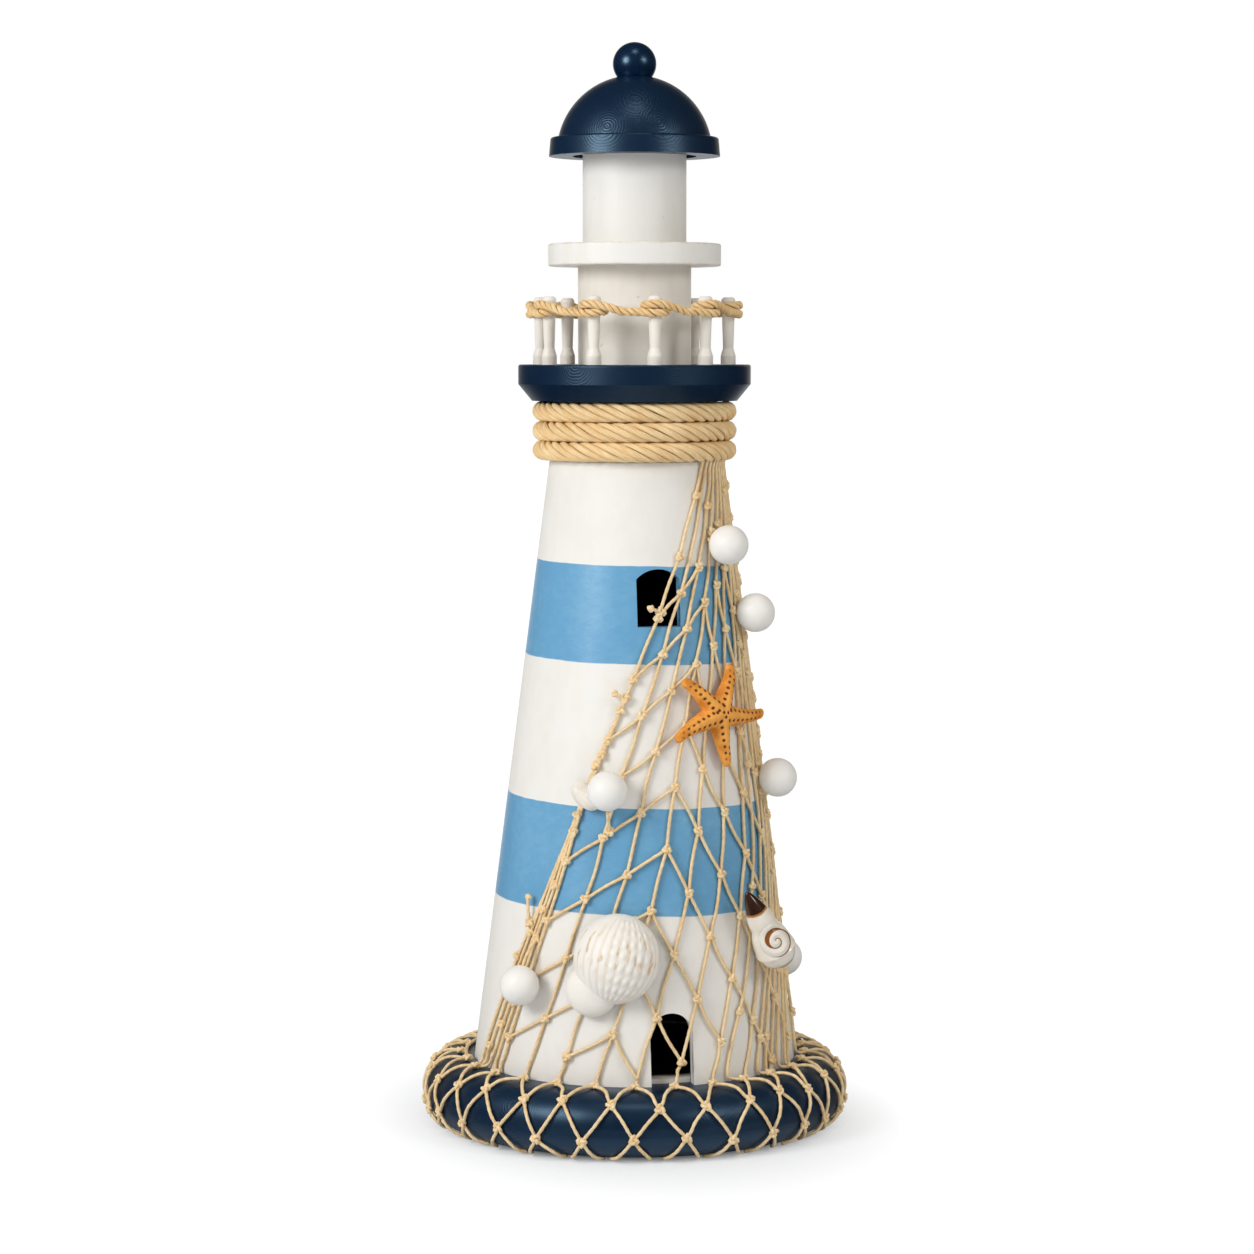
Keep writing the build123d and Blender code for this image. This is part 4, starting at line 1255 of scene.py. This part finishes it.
def makeShellSkin(name, chalk, valleyShadeAndTone, mark, markShare, gloss):
    # chalky lime with painted shade in the valleys between the ribs, darker clouds of tone, and growth marks
    # across them
    material, place = startMaterial(name)
    fan = wire(place.tree, "ShaderNodeUVMap", 0, uv_map="fan")
    down = splitParts(fan)[1]
    clouds = noiseOf(place, 160.0)
    # painted shade: where the rib is low, between the ribs, the colour darkens
    colour = blendColour(softStep(marked(place, "rib"), 0.55, 0.05) * 0.55, chalk, valleyShadeAndTone)
    streaks = noiseOf(stretched(fan, (46.0, 7.0, 1.0)), 1.0, 2.0, 0.5)
    belt = softStep(down, 0.20, 0.36) * softStep(down, 0.66, 0.50)
    colour = blendColour(softStep(streaks, 0.54, 0.70) * belt * markShare, colour, mark)
    colour = blendColour(softStep(clouds, 0.5, 0.75) * 0.25, colour, valleyShadeAndTone)
    rings = noiseOf(stretched(fan, (2.0, 60.0, 1.0)), 1.0, 2.0)
    return finishPaint(material, colour, clouds * 0.22 + gloss, rings, strength=0.30, depth=0.00012,
                       SpecularIORLevel=0.34)


# a globe's ribs run from pole to pole, a fan's out from its beak; half of the cockle is smooth and half beaded
# skin is the chalk colour, the colour of painted shade between the ribs (also laid in darker clouds), the
# growth mark colour, the mark's share, and the roughness
valves = {
    "cockleShell": {
        "node": "cockle_shell", "slot": "shell_white", "azimuth": -19.9, "share": 0.205, "turn": -12.0,
        "width": 0.031, "length": 0.0325, "crown": 0.0122, "beak": 0.0, "umbo": 0.0, "globe": True, "ribs": 29,
        "ribHeight": 0.00031, "beads": 11, "beadShare": 0.85, "smoothSide": 0.28, "wall": 0.0009,
        "around": 432, "rings": 64,
        "skin": ((0.865, 0.845, 0.805, 1), (0.760, 0.665, 0.535, 1), (0.600, 0.370, 0.150, 1), 0.75, 0.38)},
    "clamShell": {
        "node": "clam_shell", "slot": "shell_white", "azimuth": -28.4, "share": 0.155, "turn": -20.0,
        "width": 0.0195, "length": 0.0195, "crown": 0.0062, "beak": 0.55, "umbo": 0.0008, "globe": False,
        "ribs": 64, "ribHeight": 0.00002, "beads": 9, "beadShare": 0.15, "smoothSide": 1.0, "wall": 0.0008,
        "around": 256, "rings": 30,
        "skin": ((0.880, 0.855, 0.805, 1), (0.840, 0.800, 0.735, 1), (0.700, 0.560, 0.380, 1), 0.15, 0.34)},
    "smallShell": {
        "node": "small_shell", "slot": "shell_gloss", "azimuth": -34.0, "share": 0.463, "turn": 50.0,
        "width": 0.0080, "length": 0.0130, "crown": 0.0042, "beak": 0.50, "umbo": 0.0006, "globe": False,
        "ribs": 18, "ribHeight": 0.00003, "beads": 5, "beadShare": 0.2, "smoothSide": 1.0, "wall": 0.0007,
        "around": 144, "rings": 24,
        "skin": ((0.875, 0.840, 0.780, 1), (0.820, 0.720, 0.580, 1), (0.600, 0.360, 0.150, 1), 0.35, 0.30)},
}


def layFan(mesh, fanPlaces):
    # the fan map goes once round, so a face across its seam is carried on past 1
    layer = mesh.uv_layers.new(name="fan")
    for face in mesh.polygons:
        places = [fanPlaces[mesh.loops[loop].vertex_index] for loop in face.loop_indices]
        turns = [place[0] for place in places]
        wraps = max(turns) - min(turns) > 0.5
        for loop, (turned, down) in zip(face.loop_indices, places):
            layer.data[loop].uv = (turned + 1 if wraps and turned < 0.5 else turned, down)


def makeValve(name, valve):
    piece = ringedDisc(valve["around"], valve["rings"], 0.3)
    halfWide, halfLong = valve["width"] / 2, valve["length"] / 2
    beak = Vector((0, halfLong * valve["beak"]))
    ribShadeMarks, fanPlaces = [], []
    for vertex in piece.data.vertices:
        share = min(1.0, vertex.co.xy.length)
        angle = math.atan2(vertex.co.x, -vertex.co.y)        # 0 looks from the beak down the fan
        heading = Vector((math.sin(angle), -math.cos(angle)))
        # a, b and c give where this heading meets the oval rim
        a = (heading.x / halfWide) ** 2 + (heading.y / halfLong) ** 2
        b = 2 * beak.y * heading.y / halfLong ** 2
        c = (beak.y / halfLong) ** 2 - 1
        flat = beak + heading * ((-b + math.sqrt(b * b - 4 * a * c)) / (2 * a)) * share
        norm = (flat.x / halfWide) ** 2 + (flat.y / halfLong) ** 2
        around, along = angle, share
        fade = min(1, share * 1.6) * within(0.12, (2.35 - abs(angle)) * 1.4, 1)
        if valve["globe"]:
            rise = within(-0.9999, flat.y / halfLong, 0.9999)
            around = math.asin(within(-1, flat.x / halfWide / math.sqrt(1 - rise * rise), 1))
            along = math.acos(rise) / math.pi
            fade = max(0, 1 - norm) ** 0.35 * min(1, 4 * math.sin(math.pi * along) ** 2)
        wave = 0.5 + 0.5 * math.cos(valve["ribs"] * around)
        side = 0.5 + 0.5 * math.tanh(5 * (around + 0.15))      # 0 on the smooth half, 1 on the beaded one
        fade *= valve["smoothSide"] + (1 - valve["smoothSide"]) * side
        bead = 1 + valve["beadShare"] * math.cos(2 * math.pi * valve["beads"] * along) * side
        dome = valve["crown"] * max(0, 1 - norm) ** 0.56
        swell = valve["umbo"] * math.exp(-((flat - beak * 0.9).length / (halfWide * 0.42)) ** 2)
        outward = Vector((flat.x / halfWide ** 2, flat.y / halfLong ** 2,
                          (dome + 0.002) / valve["crown"] ** 2)).normalized()
        rib = valve["ribHeight"] * (wave ** 0.8 * bead) * fade
        vertex.co = Vector((flat.x, flat.y, dome + swell)) + outward * rib
        # the rib mark sets where painted shade falls between the ribs
        ribShadeMarks.append(wave if fade > 0.2 else 0.6)
        fanPlaces.append((around / (2 * math.pi) + 0.5, along))
    markPoints(piece.data, "rib", ribShadeMarks)
    layFan(piece.data, fanPlaces)
    mendMesh(piece, 1e-7)
    thick = piece.modifiers.new("shellWall", "SOLIDIFY")
    thick.thickness = valve["wall"]
    thick.offset = -1
    bpy.ops.object.modifier_apply(modifier=thick.name)
    smoothed(65)
    seat = seatOf(valve["node"], valve["azimuth"], valve["share"], valve["turn"])
    settlePiece(piece, name, seat, makeShellSkin(name + "Skin", *valve["skin"]))
    dressPiece(piece, valve["slot"], valve["node"])


for valveName, valveSpec in valves.items():
    makeValve(valveName, valveSpec)
print("shell valves done")

# waist is its depth, and its level and breadth as shares of the cone
spiralShell = {"azimuth": 35.0, "share": 0.239, "turn": 31.0, "length": 0.0335, "belly": 0.0070, "tip": 0.0007,
               "waist": (0.0007, 0.40, 0.09), "segments": 112, "rings": 120, "swirlCentre": (0.0036, -0.0046),
               "swirlPitch": 0.0034, "swirlReach": 0.0062, "swirlThin": 0.065, "swirlThick": 0.20,
               "groove": 0.00026, "tipFrom": 0.0084,
               "cream": ((0.800, 0.735, 0.625, 1), (0.880, 0.850, 0.790, 1)),
               "copper": (0.265, 0.088, 0.022, 1),
               "brown": ((0.018, 0.007, 0.004, 1), (0.060, 0.024, 0.012, 1)),
               "tipEdge": (0.420, 0.170, 0.050, 1), "under": (0.400, 0.190, 0.070, 1)}


def makeSpiralSkin():
    # glossy cream shell with a copper swirl on its face and a dark tip; its map is in millimetres
    shell = spiralShell
    material, place = startMaterial("spiralSkin")
    x, y = splitParts(wire(place.tree, "ShaderNodeUVMap", 0, uv_map="face"))[:2]
    axis = marked(place, "axis")
    reach = flatReach(x, y)
    turn = calc("ARCTAN2", y, x) / (2 * math.pi)
    line = abs(calc("FRACT", reach / (shell["swirlPitch"] * 1000) + turn) - 0.5)
    swirled = softStep(reach, shell["swirlReach"] * 1000, shell["swirlReach"] * 950)
    # the line is thicker on the upper left, where lean is 1
    lean = calc("DIVIDE", y * 0.5 - x * 0.87, calc("MAXIMUM", reach, 0.3), clamp=True)
    width = shell["swirlThin"] + lean * softStep(reach, 1.4, 3.0) * shell["swirlThick"]
    swirl = softStep(line - width, 0.03, -0.03) * swirled * softStep(marked(place, "front"), 0.10, 0.30)
    clouds = noiseOf(place, 190.0)
    colour = blendColour(swirl, blendColour(clouds, *shell["cream"]), shell["copper"])
    waver = axis + (clouds - 0.5) * 1.6
    streaks = noiseOf(stretched(place, (1.0, 1.0, 0.25)), 900.0)
    start = shell["tipFrom"] * 1000
    colour = blendColour(softStep(waver, start - 0.9, start - 0.3), colour, shell["tipEdge"])
    colour = blendColour(softStep(waver, start, start + 0.4), colour, blendColour(streaks, *shell["brown"]))
    colour = blendColour(softStep(axis, -13.3, -14.2) * 0.6, colour, shell["under"])
    return finishPaint(material, colour, clouds * 0.14 + 0.12, streaks, strength=0.10, depth=0.0001,
                       SpecularIORLevel=0.5, CoatWeight=0.35)


def spiralRadius(along):
    shell = spiralShell
    half = shell["length"] / 2
    big = -half + shell["belly"]
    if along < big:
        return math.sqrt(max(0, shell["belly"] ** 2 - (along - big) ** 2))
    rise = (along - big) / (half - big)
    radius = shell["belly"] * (1 - rise) ** 0.78 * (1 + 0.22 * rise)
    radius += shell["tip"] * math.sqrt(max(0, 1 - rise ** 12))
    depth, level, breadth = shell["waist"]      # the waist above the last whorl
    return radius - depth * math.exp(-((rise - level) / breadth) ** 2)


def makeSpiralShell():
    shell = spiralShell
    pickAlone()
    bpy.ops.mesh.primitive_uv_sphere_add(segments=shell["segments"], ring_count=shell["rings"], radius=1.0)
    piece = bpy.context.object
    view = math.radians(shell["azimuth"] - studio["cameraAzimuth"])
    unturned = Matrix.Rotation(math.radians(shell["turn"]), 3, "Z").transposed()
    towards = unturned @ Vector((-math.sin(view), 0, math.cos(view)))     # the face that the photo shows
    faceRight = unturned @ Vector((math.cos(view), 0, math.sin(view)))
    faceUp = unturned @ Vector((0, 1, 0))
    places, fronts, axes = [], [], []
    for vertex in piece.data.vertices:
        share = 0.5 - math.asin(within(-1, vertex.co.z, 1)) / math.pi       # 0 at the tip, 1 at the big end
        angle = math.atan2(vertex.co.y, vertex.co.x)
        along = shell["length"] / 2 - shell["length"] * share
        radius = spiralRadius(along)
        spot = Vector((radius * math.cos(angle), along, radius * math.sin(angle)))
        normal = Vector((spot.x, 0, spot.z)).normalized() if radius > 1e-6 else Vector((0, 1, 0))
        flat = Vector((spot.dot(faceRight), spot.dot(faceUp))) - Vector(shell["swirlCentre"])
        front = normal.dot(towards)
        phase = (flat.length / shell["swirlPitch"] + math.atan2(flat.y, flat.x) / (2 * math.pi)) % 1
        if flat.length < shell["swirlReach"] * 1.1 and front > 0:
            spot += normal * shell["groove"] * math.cos(2 * math.pi * phase) * min(1, front * 2)
        places.append((flat.x * 1000, flat.y * 1000))
        fronts.append(front)
        axes.append(along * 1000)
        vertex.co = spot + Vector((0, 0, shell["belly"]))
    markPoints(piece.data, "front", fronts)
    markPoints(piece.data, "axis", axes)
    for old in list(piece.data.uv_layers):
        piece.data.uv_layers.remove(old)
    layer = piece.data.uv_layers.new(name="face")
    for loop in piece.data.loops:
        layer.data[loop.index].uv = places[loop.vertex_index]
    mendMesh(piece, 1e-7)
    smoothed(70)
    seat = seatOf("spiral_shell", shell["azimuth"], shell["share"], shell["turn"])
    settlePiece(piece, "spiralShell", seat, makeSpiralSkin())
    dressPiece(piece, "shell_gloss", "spiral_shell")
    print("spiral shell done")


makeSpiralShell()

# Felt under the base

feltPad = {"radius": 0.0585, "thickness": 0.001, "round": 0.0003, "vertices": 160, "uneven": 0.004}


def makeFeltPad():
    pad = feltPad
    pickAlone()
    bpy.ops.mesh.primitive_cylinder_add(vertices=pad["vertices"], radius=pad["radius"], depth=pad["thickness"],
                                        location=(0, 0, pad["thickness"] / 2))
    piece = bpy.context.object
    bpy.ops.object.transform_apply(location=True)
    selectWhere(piece, piece.data.edges, lambda corner: corner.z < 1e-6)
    bpy.ops.mesh.bevel(offset=pad["round"], segments=3, affect="EDGES")
    pickAlone(piece)
    for vertex in piece.data.vertices:      # a cut felt edge is never quite even
        if vertex.co.xy.length > pad["radius"] * 0.95 and vertex.co.z > 1e-6:
            vertex.co.xy *= 1 + pad["uneven"] * noise.noise(vertex.co * 400)
    smoothed(40)
    settlePiece(piece, "feltPad", Matrix.Identity(4), makeFelt())
    dressPiece(piece, "felt", "felt_pad")
    print("felt pad done")


makeFeltPad()
